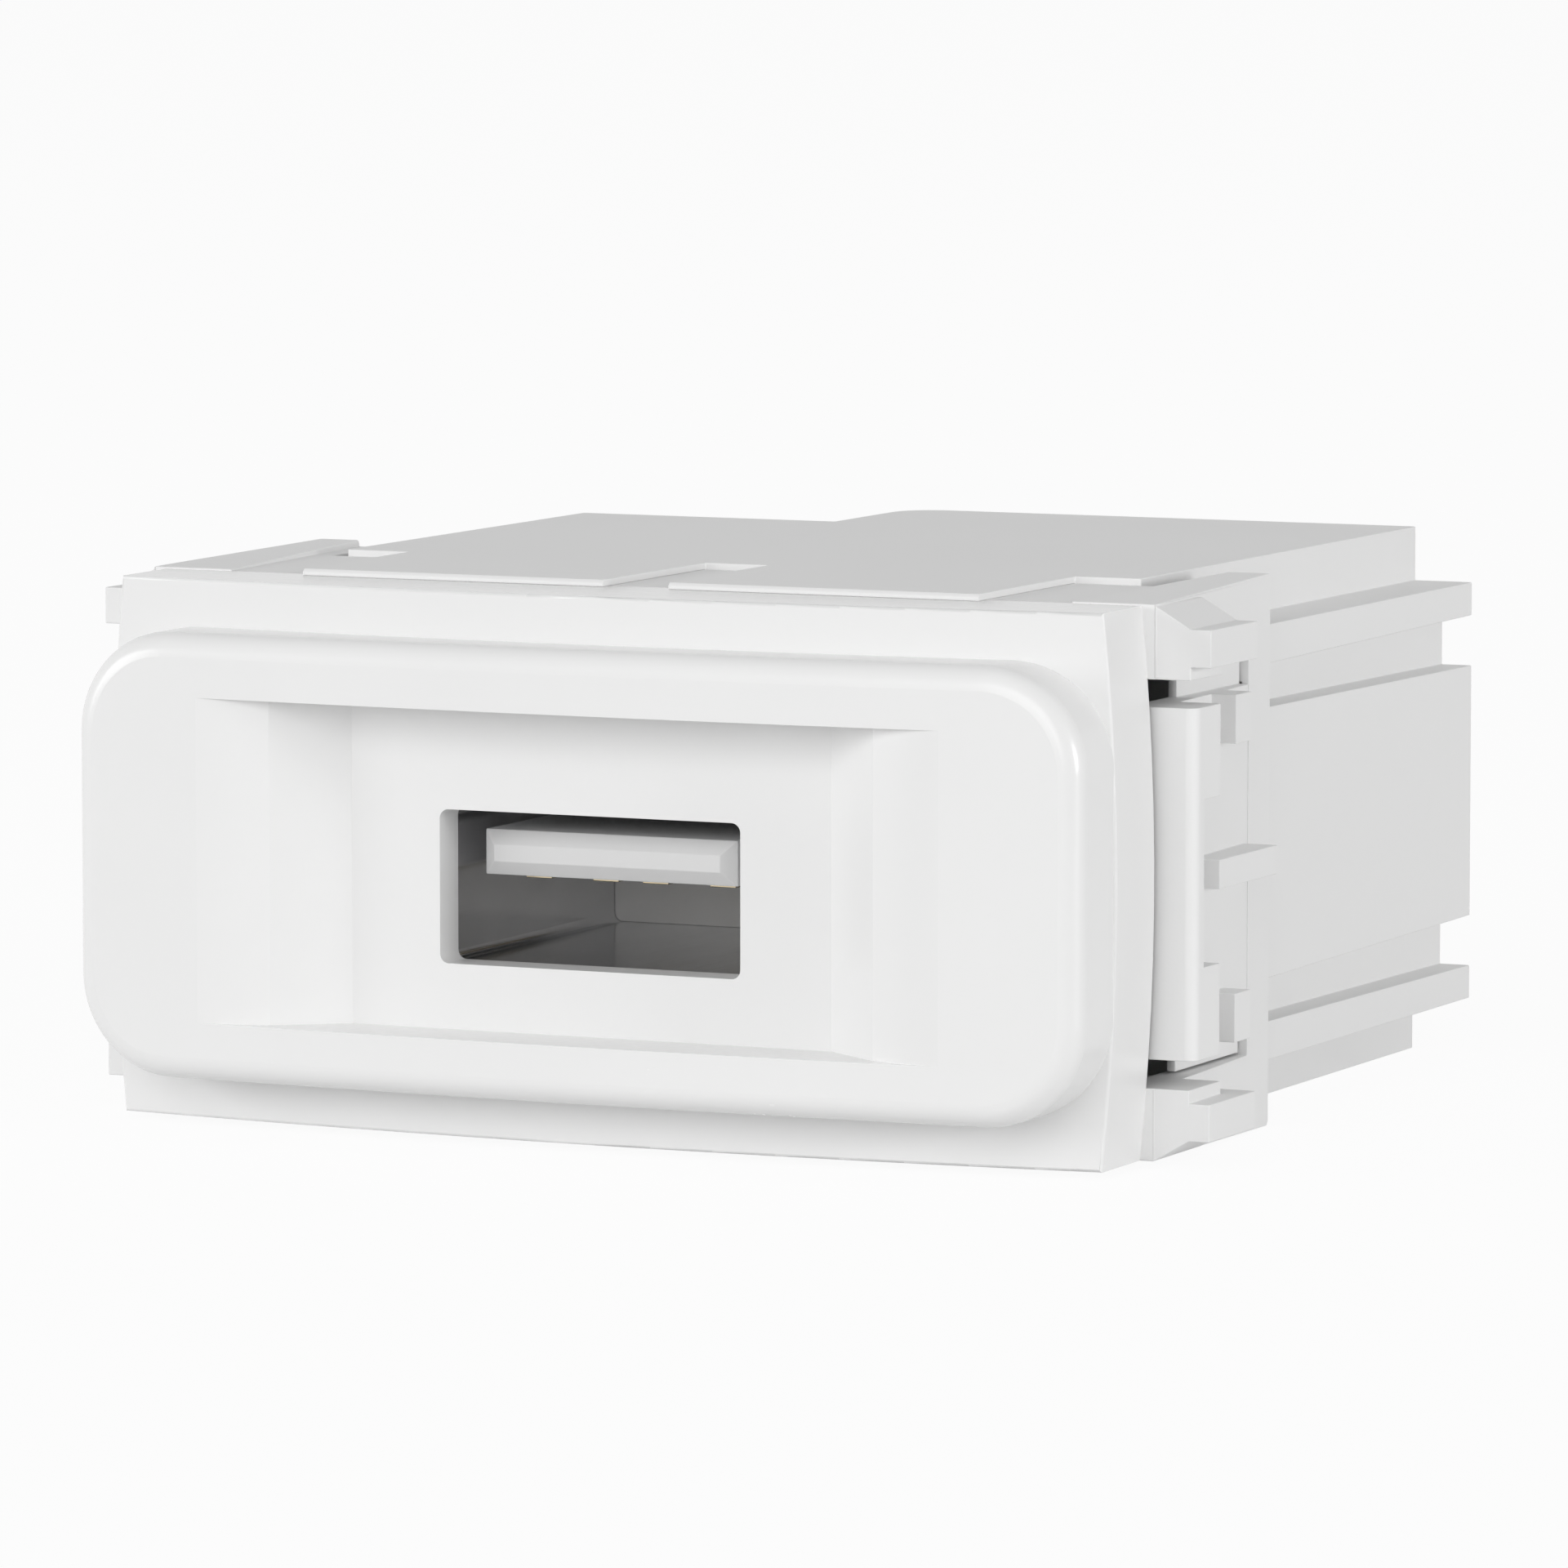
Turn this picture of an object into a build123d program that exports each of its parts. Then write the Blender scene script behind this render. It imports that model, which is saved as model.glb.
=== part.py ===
"""USB charging module for a wiring-device frame, in millimetres, +Z up.

The front of the module looks along -Y.  Every piece is drawn about the centre of the front
cover's corner plane, then moved so that the origin is under the middle of the bounding box.
"""

import os

from build123d import *

# Front cover
COVER_WIDTH = 45.0
COVER_HEIGHT = 22.8
COVER_SIDE_BULGE = 0.6
COVER_BOW = 1.38
COVER_DEPTH = 4.0
COVER_EDGE_ROUND = 0.12
COVER_WALL = 1.7
COVER_SIDE_WALL = 2.1

# Raised pad on the cover, and the scoop pressed into it
PAD_OVERHANG = 0.45
PAD_MARGIN = 2.0
PAD_CORNER = 4.3
PAD_STAND = 4.4
PAD_BOW = 0.9
PAD_EDGE_ROUND = 1.0
SCOOP_DEPTH = 3.15
SCOOP_WALL = 1.7
SCOOP_TOP_MARGIN = 2.65
SCOOP_BOTTOM_MARGIN = 2.5
SCOOP_END_MARGIN = 6.0
SCOOP_KNEE_MARGIN = 9.15
SCOOP_FLOOR_MARGIN = 11.95
SCOOP_KNEE_DEPTH = 0.75
SCOOP_LEAD_SLOPE = 0.03

# Snap arms that hold the cover in the collar
ARM_INNER_X = 7.0
ARM_WIDTH = 4.0
ARM_THICKNESS = 1.0
ARM_GAP = 0.6
ARM_SETBACK = 0.8
ARM_HOOK_LENGTH = 1.4
ARM_HOOK_HEIGHT = 1.2
ARM_WINDOW_GAP = 0.15

# Collar behind the cover
COLLAR_STEP_OUT = 0.6
COLLAR_TAPER = 0.7
COLLAR_STRAIGHT = 0.6
COLLAR_LENGTH = 14.2
COLLAR_WALL = 1.4
COLLAR_SIDE_WALL = 1.0
COLLAR_RIM = 2.7
SHELF_LENGTH = 9.2
STRIP_START = 0.08
STRIP_REAR_WIDTH = 1.8
STRIP_REAR_ROUND = 0.25

# Stepped blocks at the corners of the collar
BLOCK_REACH = 2.45
BLOCK_SHOULDER = 1.55
BLOCK_LEDGE_DROP = 0.9
BLOCK_HEIGHT = 3.0
BLOCK_TOE_RISE = 0.55
BLOCK_SETBACK = 0.05
BLOCK_LENGTH = 5.0
BLOCK_STEP_LENGTH = 3.4

# Side catches, each a springy leaf of the collar's wall with a nose at its front
CATCH_FRONT_GAP = 0.3
CATCH_SIDE_GAP = 1.15
CATCH_INNER_GAP = 0.35
CATCH_ROOT_GAP = 0.08
CATCH_NOSE_REACH = 1.7
CATCH_NOSE_LENGTH = 2.65
CATCH_NOSE_ROUND = 0.5
CATCH_LIP = 0.95
CATCH_PAD_HEIGHT = 3.8
CATCH_WEB_THICKNESS = 0.4
CATCH_WEB_GAP = 0.1
CATCH_NECK = 0.36
CATCH_BEAD_RADIUS = 0.32
CATCH_BEAD_CLEARANCE = 0.06
CATCH_BEAD_DEPTH = 0.25
STUD_REACH = 0.8
STUD_SETBACK = 6.8
STUD_LENGTH = 1.7
STUD_HEIGHT = 2.05
RIB_REACH = 1.0
RIB_SETBACK = 4.6
RIB_LENGTH = 6.3
RIB_HEIGHT = 1.22

# Rear case
TAB_THICKNESS = 0.3
TAB_FRONT = 3.2
TAB_INNER_X = 1.5
TAB_WIDTH = 14.1
TAB_CHAMFER = 0.15
CASE_WALL = 1.6
CASE_STEP_X = -6.1
CASE_STEP_ROUND = 2.0
CASE_SLOT_GAP = 0.8
CHEEK_LENGTH = 4.2
CHEEK_DROP = 0.1
RAIL_SETBACK = 0.8
RAIL_GAP = 0.1
RAIL_DEPTH = 2.7
RAIL_MARGIN = 2.4
RAIL_THICKNESS = 1.72
GROOVE_DEPTH = 1.4
GROOVE_WIDTH = 1.74
GROOVE_DRAFT = 0.25
PANEL_WALL = 1.6
LEDGE_WIDTH = 1.2
LEDGE_THICKNESS = 1.4

# USB socket
USB_Z = -0.93
APERTURE_WIDTH = 13.8
APERTURE_HEIGHT = 6.45
APERTURE_CORNER = 0.4
SHELL_GAUGE = 0.3
SHELL_DEPTH = 18.0
TONGUE_WIDTH = 11.6
TONGUE_THICKNESS = 1.9
TONGUE_OFFSET = 1.3
TONGUE_SETBACK = 1.65
TONGUE_CHAMFER = 0.47
TONGUE_CHAMFER_LENGTH = 0.6
INSULATOR_DEPTH = 3.0
CONTACT_X = (-4.25, -1.15, 1.15, 4.25)
CONTACT_WIDTH = 1.2
CONTACT_THICKNESS = 0.3
CONTACT_SETBACK = 2.3
CONTACT_LEG = 0.4
LEG_REACH = 0.8
LEG_HOLE_GAP = 0.1

# Circuit board
BOARD_THICKNESS = 1.6
BOARD_GAP = 0.2
BOARD_FRONT_GAP = 0.6
BOARD_REAR_GAP = 0.6
BOARD_STEP_GAP = 0.3
BOARD_EDGE = 2.45
PART_GAP = 1.0
LEAD_RADIUS = 0.3
FOOT_REACH = 0.8

# Parts on the board
CAN_RADIUS = 4.0
CAN_HEADROOM = 0.6
CAN_CRIMP = 0.3
CAN_INSET = 3.5
CORE_WIDTH = 13.0
CORE_DEPTH = 6.2
CORE_HEADROOM = 1.0
CORE_LIMB = 2.2
CORE_WINDOW_GAP = 0.125
BOBBIN_BASE = 0.9
BOBBIN_WALL = 0.6
BOBBIN_FOOT = 0.6
WINDING_BUILD = 1.3
WINDING_FILL = 0.85
DISC_RADIUS = 3.6
DISC_THICKNESS = 2.6
DISC_STANDOFF = 1.0
DISC_SHIFT = 2.6
FUSE_RADIUS = 1.3
FUSE_LENGTH = 4.6
FUSE_LEAD = 0.8
DRUM_RADIUS = 3.0
DRUM_HEIGHT = 8.0
DRUM_FLANGE = 1.2
DRUM_WAIST = 0.5
DRUM_INSET = 2.2
BRIDGE_SIZE = (6.4, 4.2, 2.6)
CONTROLLER_SIZE = (7.6, 5.0, 3.2)
DIODE_SIZE = (2.6, 4.0, 2.3)

# Terminals for the supply wires
TERMINAL_SIZE = (6.0, 7.6, 5.6)
TERMINAL_INSET = 4.5
TERMINAL_GAP = 1.6
BARRIER = 1.2
WIRE_BORE_RADIUS = 1.5
WIRE_ENTRY_RADIUS = 1.8
SCREW_RADIUS = 1.25
SCREW_BORE_CLEARANCE = 0.02
SCREW_HEAD_RADIUS = 2.0
SCREW_HEAD_HEIGHT = 1.6
SCREW_HEAD_GAP = 0.4
SCREW_ACCESS_GAP = 0.3
SCREW_SLOT_WIDTH = 0.7
SCREW_SLOT_DEPTH = 0.8
STRAP_GAUGE = 0.6
STRAP_WIDTH = 2.4
STRAP_OFFSET = 1.7
STRAP_EDGE = 0.9

# Front cover sizes that follow
COVER_HALF_WIDTH = COVER_WIDTH / 2
COVER_HALF_HEIGHT = COVER_HEIGHT / 2
PAD_HALF_WIDTH = COVER_HALF_WIDTH + PAD_OVERHANG
PAD_HALF_HEIGHT = COVER_HALF_HEIGHT - PAD_MARGIN
PAD_FRONT = -PAD_STAND
COVER_BOW_RADIUS = (COVER_HALF_WIDTH**2 + COVER_BOW**2) / (2 * COVER_BOW)
PAD_BOW_RADIUS = (PAD_HALF_WIDTH**2 + PAD_BOW**2) / (2 * PAD_BOW)
SCOOP_FLOOR = PAD_FRONT + SCOOP_DEPTH
FLOOR_REAR = SCOOP_FLOOR + SCOOP_WALL

# Collar and catch sizes that follow
COLLAR_FRONT_HALF_WIDTH = COVER_HALF_WIDTH + COLLAR_STEP_OUT
COLLAR_REAR_HALF_WIDTH = COLLAR_FRONT_HALF_WIDTH - COLLAR_TAPER
COLLAR_REAR = COVER_DEPTH + COLLAR_LENGTH
COLLAR_TAPER_FRONT = COVER_DEPTH + COLLAR_STRAIGHT
SHELF_REAR = COVER_DEPTH + SHELF_LENGTH
BLOCK_FRONT = COVER_DEPTH + BLOCK_SETBACK
BLOCK_REAR = BLOCK_FRONT + BLOCK_LENGTH
COLLAR_BORE_HALF_WIDTH = COLLAR_REAR_HALF_WIDTH - COLLAR_SIDE_WALL
COLLAR_BORE_HALF_HEIGHT = COVER_HALF_HEIGHT - COLLAR_WALL
ARM_TOP = COLLAR_BORE_HALF_HEIGHT - ARM_GAP
ARM_REAR = SHELF_REAR - ARM_SETBACK
CATCH_SLOT_REAR = COLLAR_REAR - COLLAR_RIM
CATCH_SLOT_HALF_HEIGHT = COVER_HALF_HEIGHT - BLOCK_HEIGHT
CATCH_HALF_HEIGHT = CATCH_SLOT_HALF_HEIGHT - CATCH_SIDE_GAP
CATCH_FRONT = COVER_DEPTH + CATCH_FRONT_GAP
CATCH_REAR = CATCH_SLOT_REAR - CATCH_ROOT_GAP
CATCH_INNER_X = COLLAR_BORE_HALF_WIDTH + CATCH_INNER_GAP
CATCH_NOSE_X = COLLAR_FRONT_HALF_WIDTH + CATCH_NOSE_REACH
CATCH_PIVOT_X = (COLLAR_BORE_HALF_WIDTH + COLLAR_REAR_HALF_WIDTH) / 2
CATCH_PIVOT_Y = CATCH_SLOT_REAR + CATCH_BEAD_DEPTH

# Case sizes that follow
CASE_HALF_HEIGHT = COVER_HALF_HEIGHT + TAB_THICKNESS
RAIL_OUTER_X = COLLAR_BORE_HALF_WIDTH - RAIL_GAP
CASE_HALF_WIDTH = RAIL_OUTER_X - RAIL_DEPTH
COLLAR_SLOT_HALF_WIDTH = CASE_HALF_WIDTH + CASE_SLOT_GAP
CASE_BORE_HALF_WIDTH = CASE_HALF_WIDTH - CASE_WALL
CASE_BORE_HALF_HEIGHT = CASE_HALF_HEIGHT - CASE_WALL
RAIL_FRONT = SHELF_REAR + RAIL_SETBACK
RAIL_HIGH = CASE_HALF_HEIGHT - RAIL_MARGIN
RAIL_LOW = RAIL_HIGH - RAIL_THICKNESS
PANEL_HALF_HEIGHT = RAIL_LOW - GROOVE_WIDTH

# Socket and board sizes that follow
SHELL_OUTER_WIDTH = APERTURE_WIDTH + 2 * SHELL_GAUGE
SHELL_OUTER_HEIGHT = APERTURE_HEIGHT + 2 * SHELL_GAUGE
SHELL_REAR = FLOOR_REAR + SHELL_DEPTH
INSULATOR_FRONT = SHELL_REAR - INSULATOR_DEPTH
TONGUE_Z = USB_Z + TONGUE_OFFSET
TONGUE_FRONT = SCOOP_FLOOR + TONGUE_SETBACK
BOARD_TOP = USB_Z - SHELL_OUTER_HEIGHT / 2
BOARD_UNDERSIDE = BOARD_TOP - BOARD_THICKNESS
BOARD_FRONT = FLOOR_REAR + BOARD_FRONT_GAP
BOARD_HALF_WIDTH = CASE_BORE_HALF_WIDTH - BOARD_GAP
BOARD_STEP_X = CASE_STEP_X + CASE_WALL + BOARD_STEP_GAP

# Places on the board, counted back from the front
SIDE_COLUMN_X = (SHELL_OUTER_WIDTH / 2 + BOARD_HALF_WIDTH) / 2
SOCKET_REAR = SHELL_REAR + CONTACT_LEG
CAN_HEIGHT = ARM_TOP - ARM_THICKNESS - BOARD_TOP - CAN_HEADROOM
OUTPUT_CAN_Y = BOARD_FRONT + CAN_INSET + CAN_RADIUS
DIODE_Y = OUTPUT_CAN_Y + CAN_RADIUS + PART_GAP + FOOT_REACH + DIODE_SIZE[1] / 2
DRUM_Y = BOARD_FRONT + DRUM_INSET + DRUM_RADIUS
BRIDGE_Y = DRUM_Y + DRUM_RADIUS + PART_GAP + FOOT_REACH + BRIDGE_SIZE[1] / 2
CONTROLLER_Y = BRIDGE_Y + (BRIDGE_SIZE[1] + CONTROLLER_SIZE[1]) / 2 + 2 * FOOT_REACH + PART_GAP
BOARD_STEP_REAR = CONTROLLER_Y + CONTROLLER_SIZE[1] / 2 + FOOT_REACH + 2 * PART_GAP
BOBBIN_REACH = CORE_DEPTH / 2 + WINDING_BUILD + BOBBIN_WALL + BOBBIN_FOOT
TRANSFORMER_X = CORE_WIDTH / 2
TRANSFORMER_Y = SOCKET_REAR + PART_GAP + BOBBIN_REACH
CORE_LOW = BOARD_TOP + BOBBIN_BASE
CORE_HEIGHT = CASE_BORE_HALF_HEIGHT - CORE_HEADROOM - CORE_LOW
CORE_MIDDLE = CORE_LOW + CORE_HEIGHT / 2
CORE_WINDOW = BOBBIN_WALL + WINDING_BUILD + CORE_WINDOW_GAP
CORE_CENTRE_LIMB = CORE_HEIGHT - 2 * (CORE_LIMB + CORE_WINDOW)
DISC_X = -PART_GAP - DISC_THICKNESS / 2
DISC_Y = TRANSFORMER_Y + DISC_SHIFT
FUSE_X = (CONTROLLER_SIZE[0] / 2 - SIDE_COLUMN_X) / 2
FUSE_Y = SOCKET_REAR + PART_GAP + FUSE_RADIUS
REAR_CAN_Y = TRANSFORMER_Y + BOBBIN_REACH + PART_GAP + CAN_RADIUS
INPUT_CAN_X = BOARD_HALF_WIDTH - BOARD_EDGE - CAN_RADIUS
FILTER_CAN_X = INPUT_CAN_X - 2 * CAN_RADIUS - PART_GAP
BOARD_REAR = REAR_CAN_Y + CAN_RADIUS + BOARD_EDGE

# Places of the terminals, and the ends of the case behind them
TERMINAL_X = TERMINAL_INSET - CASE_BORE_HALF_WIDTH
TERMINAL_FRONT = BOARD_STEP_REAR + TERMINAL_GAP
TERMINAL_Y = TERMINAL_FRONT + TERMINAL_SIZE[1] / 2
TERMINAL_Z = (TERMINAL_SIZE[2] + BARRIER) / 2
STRAP_Y = BOARD_STEP_REAR - STRAP_EDGE
SCREW_ACCESS_RADIUS = SCREW_HEAD_RADIUS + SCREW_ACCESS_GAP
CASE_SHALLOW_REAR = TERMINAL_FRONT + TERMINAL_SIZE[1] + CASE_WALL
CASE_DEEP_REAR = BOARD_REAR + BOARD_REAR_GAP + CASE_WALL
TO_FRAME = Pos(0, -(CASE_DEEP_REAR + PAD_FRONT) / 2, CASE_HALF_HEIGHT)


def block(x_range, y_range, z_range):
    """A box given by its limits on each axis."""
    sizes = [high - low for low, high in (x_range, y_range, z_range)]
    middle = [(high + low) / 2 for low, high in (x_range, y_range, z_range)]
    return Pos(*middle) * Box(*sizes)


def post(x, y, z_range, radius):
    """An upright cylinder standing at x, y."""
    low, high = z_range
    return Pos(x, y, (low + high) / 2) * Cylinder(radius, high - low)


def bar_along_x(x_range, y, z, radius):
    """A cylinder lying along X."""
    low, high = x_range
    return Pos((low + high) / 2, y, z) * Rot(0, 90, 0) * Cylinder(radius, high - low)


def bar_along_y(x, y_range, z, radius):
    """A cylinder lying along Y."""
    low, high = y_range
    return Pos(x, (low + high) / 2, z) * Rot(90, 0, 0) * Cylinder(radius, high - low)


def along_y(sketch, y_range):
    """A sketch of the XZ plane carried along Y between two limits."""
    low, high = y_range
    return extrude(Pos(0, low, 0) * sketch, amount=high - low, dir=(0, 1, 0))


def front_view(sketch, z=0.0):
    """A sketch stood up in the XZ plane at a height."""
    return Pos(0, 0, z) * (Plane.XZ * sketch)


def upright(points, z_range):
    """A plan outline carried up between two heights."""
    low, high = z_range
    return Pos(0, 0, low) * extrude(make_face(Polyline(*points, close=True)), amount=high - low)


def both_sides(solid):
    """The solid and its reflection in the plane X = 0."""
    return [solid, mirror(solid, about=Plane.YZ)]


def above_and_below(solid):
    """The solid and its reflection in the plane Z = 0."""
    return [solid, mirror(solid, about=Plane.XY)]


def at_four_corners(solid):
    """The solid repeated in all four quarters of the front view."""
    return [copy for half in both_sides(solid) for copy in above_and_below(half)]


def bow_at(x, front, radius):
    """Y of a bowed face at x, where its middle stands at front."""
    return front + radius - (radius**2 - x**2) ** 0.5


def bowed_block(front, radius, rear, half_width, half_height):
    """A block whose front face is bowed forward along X."""
    edge = bow_at(half_width, front, radius)
    outline = [
        ThreePointArc((-half_width, edge), (0, front), (half_width, edge)),
        Line((half_width, edge), (half_width, rear)),
        Line((half_width, rear), (-half_width, rear)),
        Line((-half_width, rear), (-half_width, edge)),
    ]
    return extrude(make_face(outline), amount=half_height, both=True)


def cover_outline():
    """Front view of the cover, with sides bulging at mid height."""
    x = COVER_HALF_WIDTH
    z = COVER_HALF_HEIGHT
    outline = [
        Line((-x, z), (x, z)),
        ThreePointArc((x, z), (x + COVER_SIDE_BULGE, 0), (x, -z)),
        Line((x, -z), (-x, -z)),
        ThreePointArc((-x, -z), (-x - COVER_SIDE_BULGE, 0), (-x, z)),
    ]
    return front_view(make_face(outline))


def scoop_end():
    """Right-hand half of the scoop's plan: floor, steep ramp and a long lead into the pad's face."""
    lead_x = PAD_HALF_WIDTH - SCOOP_END_MARGIN
    knee_x = PAD_HALF_WIDTH - SCOOP_KNEE_MARGIN
    floor_x = PAD_HALF_WIDTH - SCOOP_FLOOR_MARGIN
    lead = (lead_x, bow_at(lead_x, PAD_FRONT, PAD_BOW_RADIUS))
    knee = (knee_x, bow_at(knee_x, PAD_FRONT, PAD_BOW_RADIUS) + SCOOP_KNEE_DEPTH)
    ahead = PAD_FRONT - PAD_STAND
    outline = [
        Line((0, ahead), (lead_x, ahead)),
        Line((lead_x, ahead), lead),
        TangentArc(lead, knee, tangent=(-1, SCOOP_LEAD_SLOPE)),
        Line(knee, (floor_x, SCOOP_FLOOR)),
        Line((floor_x, SCOOP_FLOOR), (0, SCOOP_FLOOR)),
        Line((0, SCOOP_FLOOR), (0, ahead)),
    ]
    return make_face(outline)


def scoop_cutter():
    """The hollow pressed into the pad around the socket."""
    low = SCOOP_BOTTOM_MARGIN - PAD_HALF_HEIGHT
    high = PAD_HALF_HEIGHT - SCOOP_TOP_MARGIN
    half = Pos(0, 0, low) * extrude(scoop_end(), amount=high - low)
    return half + mirror(half, about=Plane.YZ)


def aperture_outline(growth=0.0):
    """Front view of the socket's mouth, shared by the cover, the shell and the insulator."""
    width = APERTURE_WIDTH + 2 * growth
    height = APERTURE_HEIGHT + 2 * growth
    return front_view(RectangleRounded(width, height, APERTURE_CORNER + growth), USB_Z)


def snap_arm():
    """One springy arm of the cover, hooked through the collar's shelf."""
    side = Polyline(
        (FLOOR_REAR, ARM_TOP),
        (ARM_REAR - ARM_HOOK_LENGTH, ARM_TOP),
        (ARM_REAR - ARM_HOOK_LENGTH, ARM_TOP + ARM_HOOK_HEIGHT),
        (ARM_REAR, ARM_TOP),
        (ARM_REAR, ARM_TOP - ARM_THICKNESS),
        (FLOOR_REAR, ARM_TOP - ARM_THICKNESS),
        close=True,
    )
    return extrude(Pos(ARM_INNER_X, 0, 0) * (Plane.YZ * make_face(side)), amount=ARM_WIDTH)


def front_cover():
    """Bowed bezel with the raised pad, its scoop and the socket aperture."""
    ahead = 2 * PAD_FRONT
    bezel = along_y(cover_outline(), (ahead, COVER_DEPTH))
    reach = COVER_HALF_WIDTH + 2 * COVER_SIDE_BULGE
    bezel &= bowed_block(-COVER_BOW, COVER_BOW_RADIUS, COVER_DEPTH, reach, COVER_HEIGHT)
    bezel = fillet(bezel.faces().sort_by(Axis.Y)[0].edges(), COVER_EDGE_ROUND)
    outline = RectangleRounded(2 * PAD_HALF_WIDTH, 2 * PAD_HALF_HEIGHT, PAD_CORNER)
    root = COVER_DEPTH / 2
    pad = along_y(front_view(outline), (ahead, root))
    pad &= bowed_block(PAD_FRONT, PAD_BOW_RADIUS, root, PAD_HALF_WIDTH + PAD_CORNER, COVER_HEIGHT)
    pad = fillet(pad.faces().sort_by(Axis.Y)[0].edges(), PAD_EDGE_ROUND)
    cover = bezel + pad - scoop_cutter()
    pocket_x = COVER_HALF_WIDTH - COVER_SIDE_WALL
    pocket_z = COVER_HALF_HEIGHT - COVER_WALL
    cover -= block((-pocket_x, pocket_x), (FLOOR_REAR, 2 * COVER_DEPTH), (-pocket_z, pocket_z))
    cover -= along_y(aperture_outline(), (PAD_FRONT, FLOOR_REAR + SCOOP_WALL))
    return cover + at_four_corners(snap_arm())


def collar_side(y):
    """X of the collar's right side at a depth, straight in front and then tapered."""
    tapered = max(0, y - COLLAR_TAPER_FRONT) / (COLLAR_REAR - COLLAR_TAPER_FRONT)
    return COLLAR_FRONT_HALF_WIDTH - COLLAR_TAPER * tapered


def corner_block():
    """Stepped block at the upper right of the collar, with a chamfered shoulder and a toe."""
    inner = COLLAR_BORE_HALF_WIDTH
    shoulder = COLLAR_FRONT_HALF_WIDTH + BLOCK_SHOULDER
    outer = COLLAR_FRONT_HALF_WIDTH + BLOCK_REACH
    ledge = COVER_HALF_HEIGHT - BLOCK_LEDGE_DROP
    underside = CATCH_SLOT_HALF_HEIGHT
    toe_underside = underside + BLOCK_TOE_RISE
    upper = Polyline(
        (inner, toe_underside),
        (outer, toe_underside),
        (outer, ledge),
        (shoulder, ledge),
        (COLLAR_FRONT_HALF_WIDTH, COVER_HALF_HEIGHT),
        (inner, COVER_HALF_HEIGHT),
        close=True,
    )
    block_upper = along_y(front_view(make_face(upper)), (BLOCK_FRONT, BLOCK_REAR))
    step_y = (BLOCK_FRONT, BLOCK_FRONT + BLOCK_STEP_LENGTH)
    step = block((inner, shoulder), step_y, (underside, toe_underside))
    return block_upper + step


def side_strip(front):
    """Strip along the collar's top right edge, ramping up from a depth and rounded off at its rear."""
    depths = sorted({front, max(front, COLLAR_TAPER_FRONT), COLLAR_REAR})
    outer = [(collar_side(y), y) for y in depths]
    inner = (COLLAR_REAR_HALF_WIDTH - STRIP_REAR_WIDTH, COLLAR_REAR)
    plan = [(COLLAR_SLOT_HALF_WIDTH, front), *outer, inner]
    strip = upright(plan, (COLLAR_BORE_HALF_HEIGHT, CASE_HALF_HEIGHT))
    ramp = Polyline(
        (front, COVER_HALF_HEIGHT + STRIP_START),
        (COLLAR_REAR, CASE_HALF_HEIGHT),
        (COLLAR_REAR, COVER_HEIGHT),
        (front, COVER_HEIGHT),
        close=True,
    )
    strip -= extrude(Plane.YZ * make_face(ramp), amount=COVER_WIDTH)
    rear = strip.faces().sort_by(Axis.Y)[-1].edges().sort_by(Axis.Z)[-1]
    return fillet(rear, STRIP_REAR_ROUND)


def collar_frame():
    """Frame behind the cover that carries the catches and takes the rear case."""
    plan = [
        (-COLLAR_FRONT_HALF_WIDTH, COVER_DEPTH),
        (COLLAR_FRONT_HALF_WIDTH, COVER_DEPTH),
        (COLLAR_FRONT_HALF_WIDTH, COLLAR_TAPER_FRONT),
        (COLLAR_REAR_HALF_WIDTH, COLLAR_REAR),
        (-COLLAR_REAR_HALF_WIDTH, COLLAR_REAR),
        (-COLLAR_FRONT_HALF_WIDTH, COLLAR_TAPER_FRONT),
    ]
    collar = upright(plan, (-COVER_HALF_HEIGHT, COVER_HALF_HEIGHT))
    collar += both_sides(side_strip(COVER_DEPTH))
    collar += both_sides(mirror(side_strip(BLOCK_REAR), about=Plane.XY))
    through = (0, 2 * COLLAR_REAR)
    bore_x = COLLAR_BORE_HALF_WIDTH
    bore_z = COLLAR_BORE_HALF_HEIGHT
    collar -= block((-bore_x, bore_x), through, (-bore_z, bore_z))
    slot_x = COLLAR_SLOT_HALF_WIDTH
    collar -= block((-slot_x, slot_x), (SHELF_REAR, 2 * COLLAR_REAR), (-COVER_HEIGHT, COVER_HEIGHT))
    slot_z = CATCH_SLOT_HALF_HEIGHT
    catch_slot = block((bore_x - COLLAR_SIDE_WALL, COVER_WIDTH), (0, CATCH_SLOT_REAR), (-slot_z, slot_z))
    collar -= both_sides(catch_slot)
    collar += at_four_corners(corner_block())
    groove_z = CATCH_HALF_HEIGHT + CATCH_BEAD_CLEARANCE
    groove_radius = CATCH_BEAD_RADIUS + CATCH_BEAD_CLEARANCE
    groove = post(CATCH_PIVOT_X, CATCH_PIVOT_Y, (-groove_z, groove_z), groove_radius)
    collar -= both_sides(groove)
    gap = ARM_WINDOW_GAP
    hook_window = block(
        (ARM_INNER_X - gap, ARM_INNER_X + ARM_WIDTH + gap),
        (ARM_REAR - ARM_HOOK_LENGTH, ARM_REAR + gap),
        (ARM_TOP, ARM_TOP + ARM_HOOK_HEIGHT + gap),
    )
    return collar - at_four_corners(hook_window)


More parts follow.
